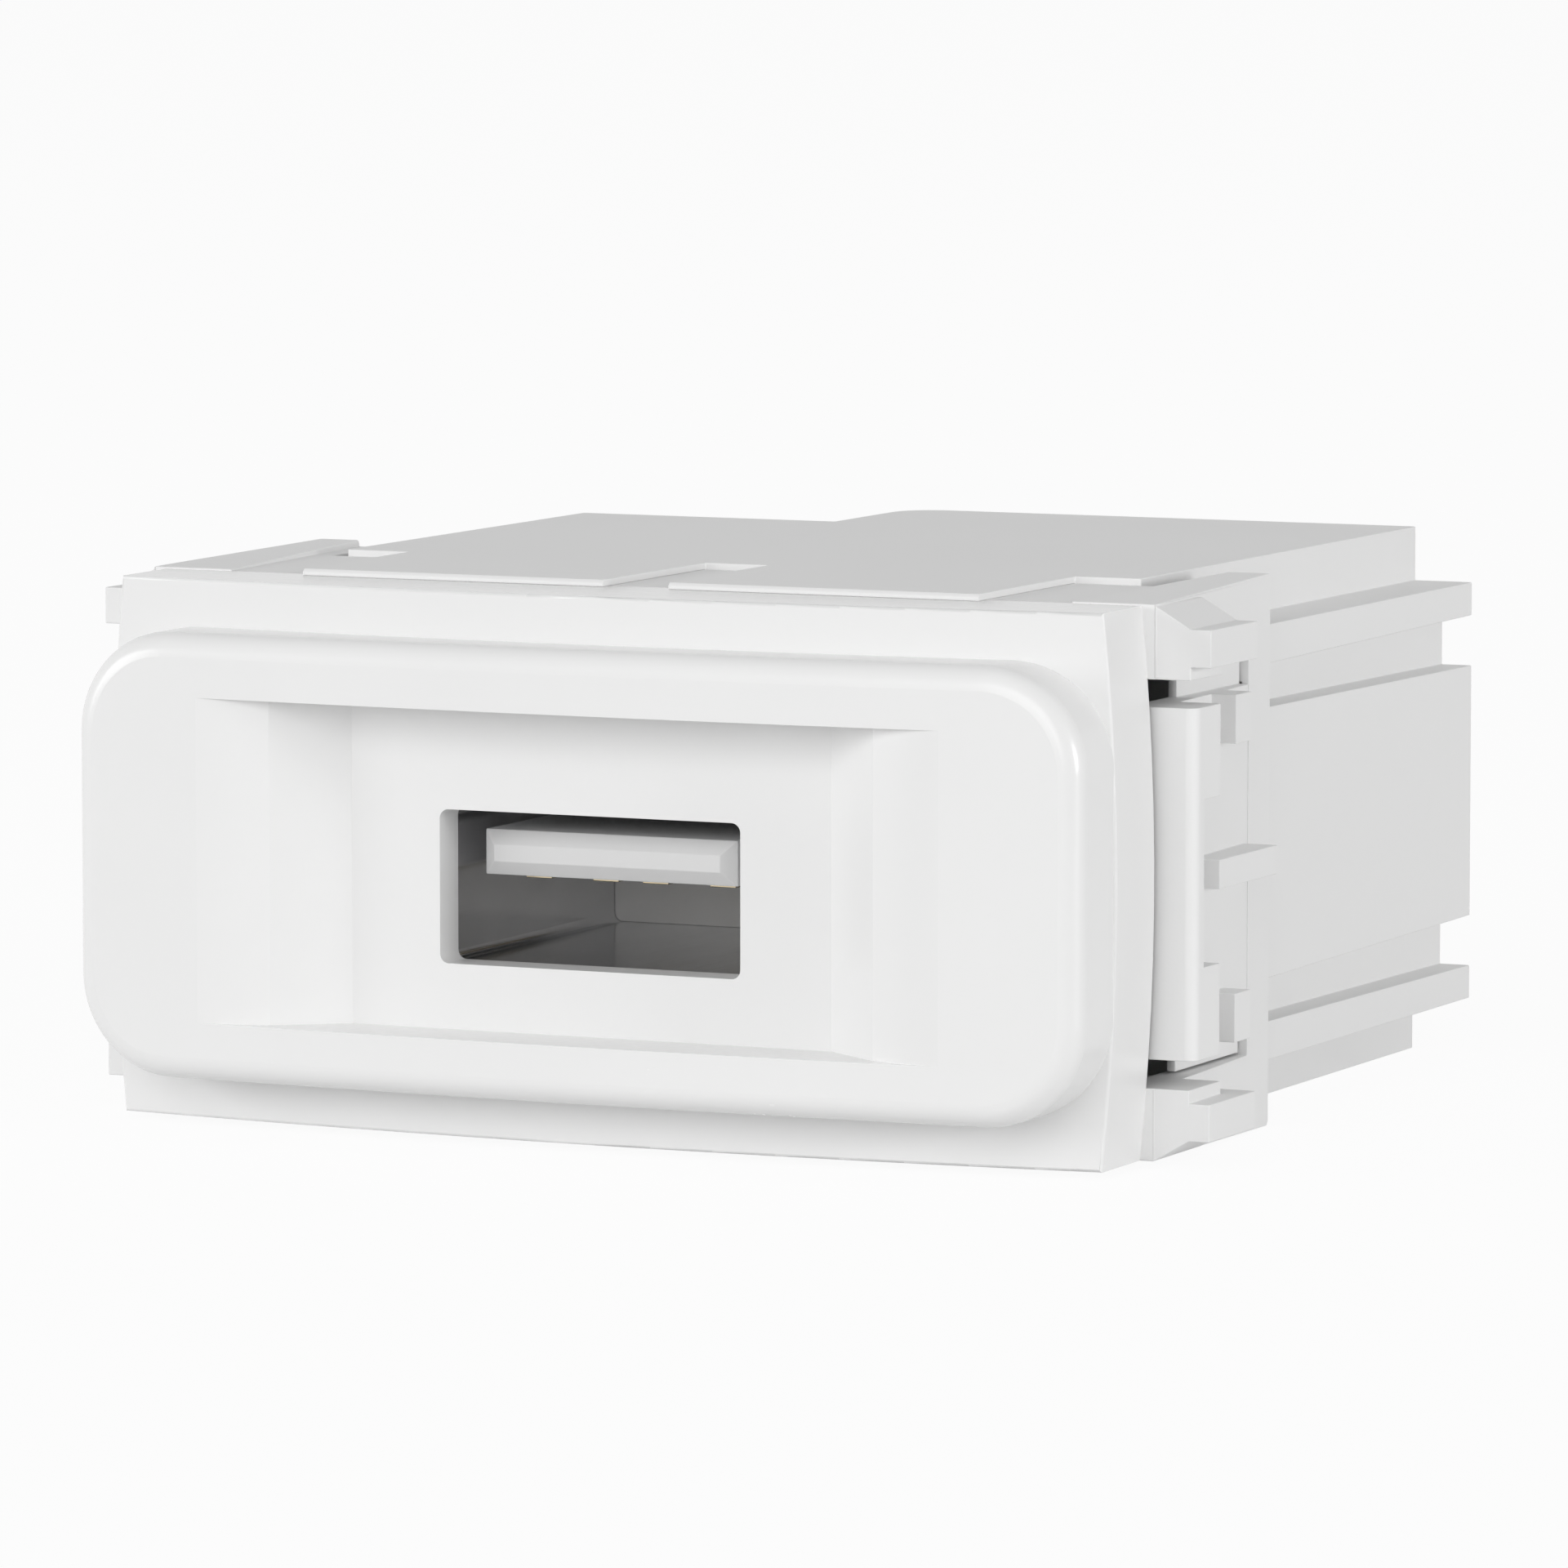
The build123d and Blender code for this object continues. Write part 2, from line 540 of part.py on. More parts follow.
def right_catch():
    """Springy leaf in the collar's side slot, with a nose in front and a bead at its root."""
    height = (-CATCH_HALF_HEIGHT, CATCH_HALF_HEIGHT)
    nose_rear = CATCH_FRONT + CATCH_NOSE_LENGTH
    nose = block((CATCH_INNER_X, CATCH_NOSE_X), (CATCH_FRONT, nose_rear), height)
    lead_in = nose.edges().filter_by(Axis.Z).group_by(Axis.Y)[0].sort_by(Axis.X)[-1]
    nose = fillet(lead_in, CATCH_NOSE_ROUND)
    relief_z = CATCH_HALF_HEIGHT - CATCH_PAD_HEIGHT
    lip_rear = CATCH_FRONT + CATCH_LIP
    nose -= block((CATCH_INNER_X, 2 * CATCH_NOSE_X), (lip_rear, 2 * nose_rear), (-relief_z, relief_z))
    leaf = [
        (CATCH_INNER_X, CATCH_FRONT),
        (collar_side(CATCH_FRONT), CATCH_FRONT),
        (collar_side(CATCH_REAR), CATCH_REAR),
        (CATCH_PIVOT_X + CATCH_NECK / 2, CATCH_REAR),
        (CATCH_PIVOT_X + CATCH_NECK / 2, CATCH_PIVOT_Y),
        (CATCH_PIVOT_X - CATCH_NECK / 2, CATCH_PIVOT_Y),
        (CATCH_PIVOT_X - CATCH_NECK / 2, CATCH_REAR),
        (CATCH_INNER_X, CATCH_REAR),
    ]
    catch = nose + upright(leaf, height)
    catch += post(CATCH_PIVOT_X, CATCH_PIVOT_Y, height, CATCH_BEAD_RADIUS)
    stud = block(
        (CATCH_PIVOT_X, COLLAR_FRONT_HALF_WIDTH + STUD_REACH),
        (COVER_DEPTH + STUD_SETBACK, COVER_DEPTH + STUD_SETBACK + STUD_LENGTH),
        (CATCH_HALF_HEIGHT - STUD_HEIGHT, CATCH_HALF_HEIGHT),
    )
    rib = block(
        (CATCH_PIVOT_X, COLLAR_FRONT_HALF_WIDTH + RIB_REACH),
        (COVER_DEPTH + RIB_SETBACK, COVER_DEPTH + RIB_SETBACK + RIB_LENGTH),
        (-RIB_HEIGHT / 2, RIB_HEIGHT / 2),
    )
    web_z = CATCH_SLOT_HALF_HEIGHT - CATCH_WEB_GAP
    web = block(
        (CATCH_INNER_X, CATCH_INNER_X + CATCH_WEB_THICKNESS),
        (COVER_DEPTH + RIB_SETBACK, CATCH_REAR),
        (-web_z, web_z),
    )
    return catch + above_and_below(stud) + rib + web


def case_profile(y, draft):
    """Front view of the case at a depth, with its side rails, grooves and middle panels."""
    right = [
        (CASE_HALF_WIDTH, CASE_HALF_HEIGHT),
        (CASE_HALF_WIDTH, RAIL_HIGH),
        (RAIL_OUTER_X, RAIL_HIGH),
        (RAIL_OUTER_X, RAIL_LOW + draft),
        (RAIL_OUTER_X - GROOVE_DEPTH, RAIL_LOW + draft),
        (RAIL_OUTER_X - GROOVE_DEPTH, PANEL_HALF_HEIGHT - draft),
        (RAIL_OUTER_X, PANEL_HALF_HEIGHT - draft),
    ]
    right += [(x, -z) for x, z in reversed(right)]
    left = [(-x, z) for x, z in reversed(right)]
    return Pos(0, y, 0) * front_view(make_face(Polyline(*right, *left, close=True)))


def case_tab():
    """Thin tab of the case lying on the collar's shelf, its front edge chamfered."""
    z_range = (COVER_HALF_HEIGHT, CASE_HALF_HEIGHT)
    tab = block((TAB_INNER_X, TAB_INNER_X + TAB_WIDTH), (TAB_FRONT, RAIL_FRONT), z_range)
    upper = tab.faces().sort_by(Axis.Z)[-1].edges()
    return chamfer(upper.filter_by(Axis.X).sort_by(Axis.Y)[0], TAB_CHAMFER)


def terminal_chamber():
    """Walls inside the case that hold the two terminals apart."""
    width, length, height = TERMINAL_SIZE
    y_range = (TERMINAL_FRONT, TERMINAL_FRONT + length)
    left = -CASE_BORE_HALF_WIDTH
    right = TERMINAL_X + width / 2
    top = TERMINAL_Z + height / 2
    frame = block((left, right + BARRIER), y_range, (-top - BARRIER, top + BARRIER))
    cell = block((left, right), y_range, (BARRIER / 2, top))
    return frame - above_and_below(cell)


def case_outside():
    """Outer form of the case: railed and stepped body, front cheeks and tabs."""
    body = loft([case_profile(RAIL_FRONT, 0), case_profile(CASE_DEEP_REAR, GROOVE_DRAFT)], ruled=True)
    behind = (CASE_SHALLOW_REAR, 2 * CASE_DEEP_REAR)
    body -= block((-COVER_WIDTH, CASE_STEP_X), behind, (-COVER_HEIGHT, COVER_HEIGHT))
    corner = body.edges().filter_by(Axis.Z).group_by(Axis.Y)[-1].sort_by(Axis.X)[0]
    body = fillet(corner, CASE_STEP_ROUND)
    neck_z = (-CASE_HALF_HEIGHT, CASE_HALF_HEIGHT)
    body += block((-CASE_HALF_WIDTH, CASE_HALF_WIDTH), (SHELF_REAR, RAIL_FRONT), neck_z)
    cheek_z = COLLAR_BORE_HALF_HEIGHT - CHEEK_DROP
    cheek_y = (SHELF_REAR - CHEEK_LENGTH, SHELF_REAR)
    body += block((-CASE_HALF_WIDTH, CASE_HALF_WIDTH), cheek_y, (-cheek_z, cheek_z))
    return body + at_four_corners(case_tab())


def case_hollow():
    """Space inside the case, deeper on the right and cored out behind the side panels."""
    bore_x = CASE_BORE_HALF_WIDTH
    bore_z = (-CASE_BORE_HALF_HEIGHT, CASE_BORE_HALF_HEIGHT)
    deep = CASE_DEEP_REAR - CASE_WALL
    hollow = block((-bore_x, bore_x), (0, CASE_SHALLOW_REAR - CASE_WALL), bore_z)
    hollow += block((CASE_STEP_X + CASE_WALL, bore_x), (0, deep), bore_z)
    core_x = RAIL_OUTER_X - PANEL_WALL
    core_z = PANEL_HALF_HEIGHT - PANEL_WALL
    hollow += block((0, core_x), (RAIL_FRONT + PANEL_WALL, deep), (-core_z, core_z))
    left_core = (RAIL_FRONT + PANEL_WALL, BOARD_STEP_REAR)
    return hollow + block((-core_x, 0), left_core, (-core_z, core_z))


def rear_case():
    """Stepped case with side rails, tabs, board ledges and the terminal chamber."""
    case = case_outside() - case_hollow()
    inner = CASE_BORE_HALF_WIDTH - LEDGE_WIDTH
    outer = CASE_BORE_HALF_WIDTH + CASE_WALL / 2
    ledge_z = (BOARD_UNDERSIDE - LEDGE_THICKNESS, BOARD_UNDERSIDE)
    case += block((inner, outer), (RAIL_FRONT, BOARD_REAR), ledge_z)
    case += block((-outer, -inner), (RAIL_FRONT, BOARD_STEP_REAR), ledge_z)
    case += terminal_chamber()
    for z in (-TERMINAL_Z, TERMINAL_Z):
        case -= bar_along_x((-COVER_WIDTH, -CASE_BORE_HALF_WIDTH), TERMINAL_Y, z, SCREW_ACCESS_RADIUS)
        entry = (CASE_SHALLOW_REAR - 2 * CASE_WALL, CASE_SHALLOW_REAR + CASE_WALL)
        case -= bar_along_y(TERMINAL_X, entry, z, WIRE_ENTRY_RADIUS)
    return case


def usb_shell():
    """Folded metal shell of the socket."""
    return along_y(aperture_outline(SHELL_GAUGE) - aperture_outline(), (FLOOR_REAR, SHELL_REAR))


def usb_contacts():
    """Four sprung contacts under the tongue, each bent down into the board."""
    top = TONGUE_Z - TONGUE_THICKNESS / 2
    rear = SHELL_REAR + CONTACT_LEG
    side = Polyline(
        (TONGUE_FRONT + CONTACT_SETBACK, top),
        (rear, top),
        (rear, BOARD_UNDERSIDE - LEG_REACH),
        (SHELL_REAR, BOARD_UNDERSIDE - LEG_REACH),
        (SHELL_REAR, top - CONTACT_THICKNESS),
        (TONGUE_FRONT + CONTACT_SETBACK, top - CONTACT_THICKNESS),
        close=True,
    )
    strip = extrude(Plane.YZ * make_face(side), amount=CONTACT_WIDTH / 2, both=True)
    return [Pos(x, 0, 0) * strip for x in CONTACT_X]


def usb_insulator():
    """Moulded core of the socket with the tongue that carries the contacts."""
    core = along_y(aperture_outline(), (INSULATOR_FRONT, SHELL_REAR))
    tongue = along_y(
        front_view(Rectangle(TONGUE_WIDTH, TONGUE_THICKNESS), TONGUE_Z),
        (TONGUE_FRONT, INSULATOR_FRONT),
    )
    front = tongue.faces().sort_by(Axis.Y)[0]
    tongue = chamfer(front.edges(), TONGUE_CHAMFER_LENGTH, TONGUE_CHAMFER, reference=front)
    return core + tongue - usb_contacts()


def main_board():
    """L-shaped circuit board, slotted for the socket's legs."""
    plan = [
        (-BOARD_HALF_WIDTH, BOARD_FRONT),
        (BOARD_HALF_WIDTH, BOARD_FRONT),
        (BOARD_HALF_WIDTH, BOARD_REAR),
        (BOARD_STEP_X, BOARD_REAR),
        (BOARD_STEP_X, BOARD_STEP_REAR),
        (-BOARD_HALF_WIDTH, BOARD_STEP_REAR),
    ]
    board = upright(plan, (BOARD_UNDERSIDE, BOARD_TOP))
    half = CONTACT_WIDTH / 2 + LEG_HOLE_GAP
    hole_y = (SHELL_REAR - LEG_HOLE_GAP, SHELL_REAR + CONTACT_LEG + LEG_HOLE_GAP)
    hole = block((-half, half), hole_y, (BOARD_UNDERSIDE, BOARD_TOP))
    return board - [Pos(x, 0, 0) * hole for x in CONTACT_X]


def transformer_core():
    """Ferrite core of the transformer, with a window on each side of its centre limb."""
    outside = Rectangle(CORE_WIDTH, CORE_HEIGHT)
    window = Rectangle(CORE_WIDTH - 2 * CORE_LIMB, CORE_WINDOW)
    shift = (CORE_CENTRE_LIMB + CORE_WINDOW) / 2
    section = outside - Pos(0, shift) * window - Pos(0, -shift) * window
    y_range = (TRANSFORMER_Y - CORE_DEPTH / 2, TRANSFORMER_Y + CORE_DEPTH / 2)
    return Pos(TRANSFORMER_X, 0, 0) * along_y(front_view(section, CORE_MIDDLE), y_range)


def bobbin_sleeve(growth, x_range):
    """A block around the centre limb, grown outwards by an amount."""
    half_depth = CORE_DEPTH / 2 + growth
    half_height = CORE_CENTRE_LIMB / 2 + growth
    y_range = (TRANSFORMER_Y - half_depth, TRANSFORMER_Y + half_depth)
    return block(x_range, y_range, (CORE_MIDDLE - half_height, CORE_MIDDLE + half_height))


def transformer_bobbin():
    """Bobbin on the centre limb, standing on a foot plate by four legs."""
    half = CORE_WIDTH / 2 - CORE_LIMB
    low = TRANSFORMER_X - half
    high = TRANSFORMER_X + half
    flange = WINDING_BUILD + BOBBIN_WALL
    bobbin = bobbin_sleeve(BOBBIN_WALL, (low, high))
    bobbin += bobbin_sleeve(flange, (low, low + BOBBIN_WALL))
    bobbin += bobbin_sleeve(flange, (high - BOBBIN_WALL, high))
    bobbin -= bobbin_sleeve(0, (low, high))
    foot_x = (TRANSFORMER_X - CORE_WIDTH / 2, TRANSFORMER_X + CORE_WIDTH / 2)
    foot_y = (TRANSFORMER_Y - BOBBIN_REACH, TRANSFORMER_Y + BOBBIN_REACH)
    bobbin += block(foot_x, foot_y, (BOARD_TOP, CORE_LOW))
    inner = CORE_DEPTH / 2 + BOBBIN_WALL
    for x in (low, high - BOBBIN_WALL):
        leg_x = (x, x + BOBBIN_WALL)
        bobbin += block(leg_x, (foot_y[0], TRANSFORMER_Y - inner), (BOARD_TOP, CORE_MIDDLE))
        bobbin += block(leg_x, (TRANSFORMER_Y + inner, foot_y[1]), (BOARD_TOP, CORE_MIDDLE))
    return bobbin


def transformer_winding():
    """Wound copper and tape between the flanges of the bobbin."""
    half = CORE_WIDTH / 2 - CORE_LIMB - BOBBIN_WALL
    x_range = (TRANSFORMER_X - half, TRANSFORMER_X + half)
    filled = BOBBIN_WALL + WINDING_BUILD * WINDING_FILL
    return bobbin_sleeve(filled, x_range) - bobbin_sleeve(BOBBIN_WALL, x_range)


def can_capacitor(x, y):
    """Upright electrolytic capacitor, turned about its axis with a crimp near its foot."""
    neck = CAN_RADIUS - CAN_CRIMP
    side = Polyline(
        (0, 0),
        (CAN_RADIUS, 0),
        (CAN_RADIUS, 3 * CAN_CRIMP),
        (neck, 4 * CAN_CRIMP),
        (CAN_RADIUS, 5 * CAN_CRIMP),
        (CAN_RADIUS, CAN_HEIGHT),
        (0, CAN_HEIGHT),
        close=True,
    )
    return Pos(x, y, BOARD_TOP) * revolve(Plane.XZ * make_face(side), Axis.Z)


def disc_capacitor(x, y):
    """Upright disc capacitor standing on two leads."""
    z = BOARD_TOP + DISC_RADIUS + DISC_STANDOFF
    disc = bar_along_x((x - DISC_THICKNESS / 2, x + DISC_THICKNESS / 2), y, z, DISC_RADIUS)
    for lead_y in (y - DISC_RADIUS / 2, y + DISC_RADIUS / 2):
        disc += post(x, lead_y, (BOARD_TOP, z), LEAD_RADIUS)
    return disc


def axial_resistor(x, y):
    """Resistor lying on the board along X, on one wire bent down at both ends."""
    rise = FUSE_RADIUS
    reach = FUSE_LENGTH / 2 + FUSE_LEAD
    path = Polyline((-reach, 0), (-reach, rise), (reach, rise), (reach, 0))
    start = Plane(origin=(-reach, 0, 0), z_dir=(0, 0, 1))
    wire = sweep(start * Circle(LEAD_RADIUS), path=Plane.XZ * path, transition=Transition.RIGHT)
    body = bar_along_x((-FUSE_LENGTH / 2, FUSE_LENGTH / 2), 0, rise, FUSE_RADIUS)
    return Pos(x, y, BOARD_TOP) * (body + wire)


def drum_inductor(x, y):
    """Drum-wound choke standing on the board, turned about its axis."""
    waist = DRUM_RADIUS - DRUM_WAIST
    side = Polyline(
        (0, 0),
        (DRUM_RADIUS, 0),
        (DRUM_RADIUS, DRUM_FLANGE),
        (waist, DRUM_FLANGE),
        (waist, DRUM_HEIGHT - DRUM_FLANGE),
        (DRUM_RADIUS, DRUM_HEIGHT - DRUM_FLANGE),
        (DRUM_RADIUS, DRUM_HEIGHT),
        (0, DRUM_HEIGHT),
        close=True,
    )
    return Pos(x, y, BOARD_TOP) * revolve(Plane.XZ * make_face(side), Axis.Z)


def chip(x, y, size, pins):
    """Flat package on the board with a row of feet on each long side."""
    length, width, height = size
    foot = STRAP_GAUGE / 2
    x_range = (x - length / 2, x + length / 2)
    y_range = (y - width / 2, y + width / 2)
    body = block(x_range, y_range, (BOARD_TOP + foot, BOARD_TOP + height))
    pitch = length / pins
    foot_y = (y_range[0] - FOOT_REACH, y_range[1] + FOOT_REACH)
    for index in range(pins):
        middle = x + (index - (pins - 1) / 2) * pitch
        body += block((middle - pitch / 4, middle + pitch / 4), foot_y, (BOARD_TOP, BOARD_TOP + foot))
    return body


def terminal(level, strap_x):
    """Brass pillar terminal with a wire bore, a tapped hole and a strap to the board."""
    width, length, height = TERMINAL_SIZE
    brass = Pos(TERMINAL_X, TERMINAL_Y, level) * Box(width, length, height)
    brass -= bar_along_y(TERMINAL_X, (TERMINAL_Y - length / 4, TERMINAL_Y + length), level, WIRE_BORE_RADIUS)
    tapped = SCREW_RADIUS + SCREW_BORE_CLEARANCE
    brass -= bar_along_x((TERMINAL_X - width, TERMINAL_X), TERMINAL_Y, level, tapped)
    half = STRAP_GAUGE / 2
    low = min(BOARD_TOP, level)
    side = Polyline(
        (TERMINAL_FRONT, level + half),
        (STRAP_Y, level + half),
        (STRAP_Y, low),
        (STRAP_Y + STRAP_GAUGE, low),
        (STRAP_Y + STRAP_GAUGE, level - half),
        (TERMINAL_FRONT, level - half),
        close=True,
    )
    strap = extrude(Plane.YZ * make_face(side), amount=STRAP_WIDTH / 2, both=True)
    return brass + Pos(strap_x, 0, 0) * strap


def terminal_screw(level):
    """Slotted clamping screw, turned about its axis with a plain shank."""
    tip = TERMINAL_SIZE[0] / 2 - WIRE_BORE_RADIUS + SCREW_HEAD_GAP
    half = Polyline(
        (0, 0),
        (SCREW_HEAD_RADIUS, 0),
        (SCREW_HEAD_RADIUS, SCREW_HEAD_HEIGHT),
        (SCREW_RADIUS, SCREW_HEAD_HEIGHT),
        (SCREW_RADIUS, SCREW_HEAD_HEIGHT + tip),
        (0, SCREW_HEAD_HEIGHT + tip),
        close=True,
    )
    screw = revolve(Plane.XZ * make_face(half), Axis.Z)
    screw -= Box(3 * SCREW_HEAD_RADIUS, SCREW_SLOT_WIDTH, 2 * SCREW_SLOT_DEPTH)
    head_x = TERMINAL_X - TERMINAL_SIZE[0] / 2 - SCREW_HEAD_GAP - SCREW_HEAD_HEIGHT
    return Pos(head_x, TERMINAL_Y, level) * Rot(0, 90, 0) * screw


def build():
    """Every node of the module by name."""
    catch = right_catch()
    return {
        "front_cover": front_cover(),
        "collar_frame": collar_frame(),
        "rear_case": rear_case(),
        "left_catch": mirror(catch, about=Plane.YZ),
        "right_catch": catch,
        "usb_shell": usb_shell(),
        "usb_insulator": usb_insulator(),
        "usb_contacts": usb_contacts(),
        "main_board": main_board(),
        "transformer_core": transformer_core(),
        "transformer_bobbin": transformer_bobbin(),
        "transformer_winding": transformer_winding(),
        "input_capacitor": can_capacitor(INPUT_CAN_X, REAR_CAN_Y),
        "filter_capacitor": can_capacitor(FILTER_CAN_X, REAR_CAN_Y),
        "output_capacitor": can_capacitor(SIDE_COLUMN_X, OUTPUT_CAN_Y),
        "y_capacitor": disc_capacitor(DISC_X, DISC_Y),
        "fuse_resistor": axial_resistor(FUSE_X, FUSE_Y),
        "input_inductor": drum_inductor(-SIDE_COLUMN_X, DRUM_Y),
        "bridge_rectifier": chip(-SIDE_COLUMN_X, BRIDGE_Y, BRIDGE_SIZE, 2),
        "controller_chip": chip(-SIDE_COLUMN_X, CONTROLLER_Y, CONTROLLER_SIZE, 4),
        "output_diode": chip(SIDE_COLUMN_X, DIODE_Y, DIODE_SIZE, 1),
        "line_terminal": terminal(TERMINAL_Z, TERMINAL_X - STRAP_OFFSET),
        "neutral_terminal": terminal(-TERMINAL_Z, TERMINAL_X + STRAP_OFFSET),
        "terminal_screws": [terminal_screw(level) for level in (-TERMINAL_Z, TERMINAL_Z)],
    }


def main():
    """Writes one file for each node, in the part's own frame."""
    os.makedirs("parts", exist_ok=True)
    for name, shape in build().items():
        pieces = shape if isinstance(shape, list) else [shape]
        solids = [TO_FRAME * solid for piece in pieces for solid in piece.solids()]
        export_step(Compound(label=name, children=solids), f"parts/{name}.step")


main()
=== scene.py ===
"""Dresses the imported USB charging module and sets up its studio.

The white mouldings get the small edge rounds of their tools, and the socket and
the parts inside the case get their finishes.  The wound wire, the solder and the
rolled sleeve rims that the solids leave plain are modelled on them, and the
camera stands where the photograph was taken from.
"""

from __future__ import annotations

import logging
import math
from collections.abc import Mapping
from dataclasses import dataclass
from enum import Enum

import bpy
from mathutils import Matrix, Vector

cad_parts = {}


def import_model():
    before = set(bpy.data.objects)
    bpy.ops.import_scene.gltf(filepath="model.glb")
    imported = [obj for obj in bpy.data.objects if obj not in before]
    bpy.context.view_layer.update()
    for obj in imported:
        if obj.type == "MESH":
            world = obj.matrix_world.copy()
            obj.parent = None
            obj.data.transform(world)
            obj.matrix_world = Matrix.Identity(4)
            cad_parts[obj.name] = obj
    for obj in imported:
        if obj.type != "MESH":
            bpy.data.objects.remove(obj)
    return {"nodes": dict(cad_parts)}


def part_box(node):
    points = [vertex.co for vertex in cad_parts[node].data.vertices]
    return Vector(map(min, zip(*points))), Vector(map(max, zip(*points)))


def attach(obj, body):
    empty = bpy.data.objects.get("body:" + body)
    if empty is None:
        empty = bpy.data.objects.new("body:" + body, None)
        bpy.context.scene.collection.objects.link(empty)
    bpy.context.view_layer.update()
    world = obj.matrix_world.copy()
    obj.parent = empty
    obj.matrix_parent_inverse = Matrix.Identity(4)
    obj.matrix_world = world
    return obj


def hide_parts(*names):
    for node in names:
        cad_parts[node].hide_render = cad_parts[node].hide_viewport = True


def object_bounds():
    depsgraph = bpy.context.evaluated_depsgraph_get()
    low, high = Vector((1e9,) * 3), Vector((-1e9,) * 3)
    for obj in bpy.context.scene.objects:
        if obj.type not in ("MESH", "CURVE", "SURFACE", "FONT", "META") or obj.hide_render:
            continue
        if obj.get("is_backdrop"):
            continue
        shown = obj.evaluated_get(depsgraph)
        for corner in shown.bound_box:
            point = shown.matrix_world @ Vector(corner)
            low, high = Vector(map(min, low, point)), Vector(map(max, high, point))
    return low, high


LOG = logging.getLogger("usb_module")
MM = 0.001
FULL_TURN = 2.0 * math.pi
STOOD_UP = (math.pi / 2.0, 0.0, 0.0)
SMOOTH_ANGLE = math.radians(50.0)

# Places of a Mix node's factor, its two colours and its result, whose names repeat
MIX_FACTOR, MIX_LOW, MIX_HIGH, MIX_RESULT = 0, 6, 7, 2

Colour = tuple[float, float, float]
Point = tuple[float, float, float]

WHITE: Colour = (1.0, 1.0, 1.0)
TINNED: Colour = (0.66, 0.66, 0.67)


class Axis(Enum):
    """An axis of the shared frame, by its place in a coordinate."""

    X = 0
    Y = 1
    Z = 2


class Wire:
    """A shader socket that sums and products can be written with."""

    def __init__(self, tree: bpy.types.NodeTree, socket: bpy.types.NodeSocket) -> None:
        """Keeps the tree and the output socket that the value comes from."""
        self.tree = tree
        self.socket = socket

    def _math(self, operation: str, first: Wire | float, second: Wire | float) -> Wire:
        """Adds one Math node.

        Args:
            operation: The node's operation.
            first: First value, linked if it is a wire.
            second: Second value, linked if it is a wire.

        Returns:
            The node's result.
        """
        node = self.tree.nodes.new("ShaderNodeMath")
        node.operation = operation
        for place, value in zip(node.inputs, (first, second)):
            if isinstance(value, Wire):
                self.tree.links.new(value.socket, place)
            else:
                place.default_value = value
        return Wire(self.tree, node.outputs[0])

    def __add__(self, other: Wire | float) -> Wire:
        """The sum of two values."""
        return self._math("ADD", self, other)

    def __radd__(self, other: float) -> Wire:
        """The sum with a number on the left."""
        return self._math("ADD", other, self)

    def __sub__(self, other: Wire | float) -> Wire:
        """The difference of two values."""
        return self._math("SUBTRACT", self, other)

    def __rsub__(self, other: float) -> Wire:
        """The difference with a number on the left."""
        return self._math("SUBTRACT", other, self)

    def __mul__(self, other: Wire | float) -> Wire:
        """The product of two values."""
        return self._math("MULTIPLY", self, other)

    def __rmul__(self, other: float) -> Wire:
        """The product with a number on the left."""
        return self._math("MULTIPLY", other, self)

    def __gt__(self, other: Wire | float) -> Wire:
        """One where the value is the larger, and otherwise nought."""
        return self._math("GREATER_THAN", self, other)

    def __lt__(self, other: Wire | float) -> Wire:
        """One where the value is the smaller, and otherwise nought."""
        return self._math("LESS_THAN", self, other)

    def __or__(self, other: Wire) -> Wire:
        """The larger of two masks."""
        return self._math("MAXIMUM", self, other)

    def __abs__(self) -> Wire:
        """The value without its sign."""
        return self._math("ABSOLUTE", self, 0.0)


SocketValue = Wire | float | tuple[float, ...]


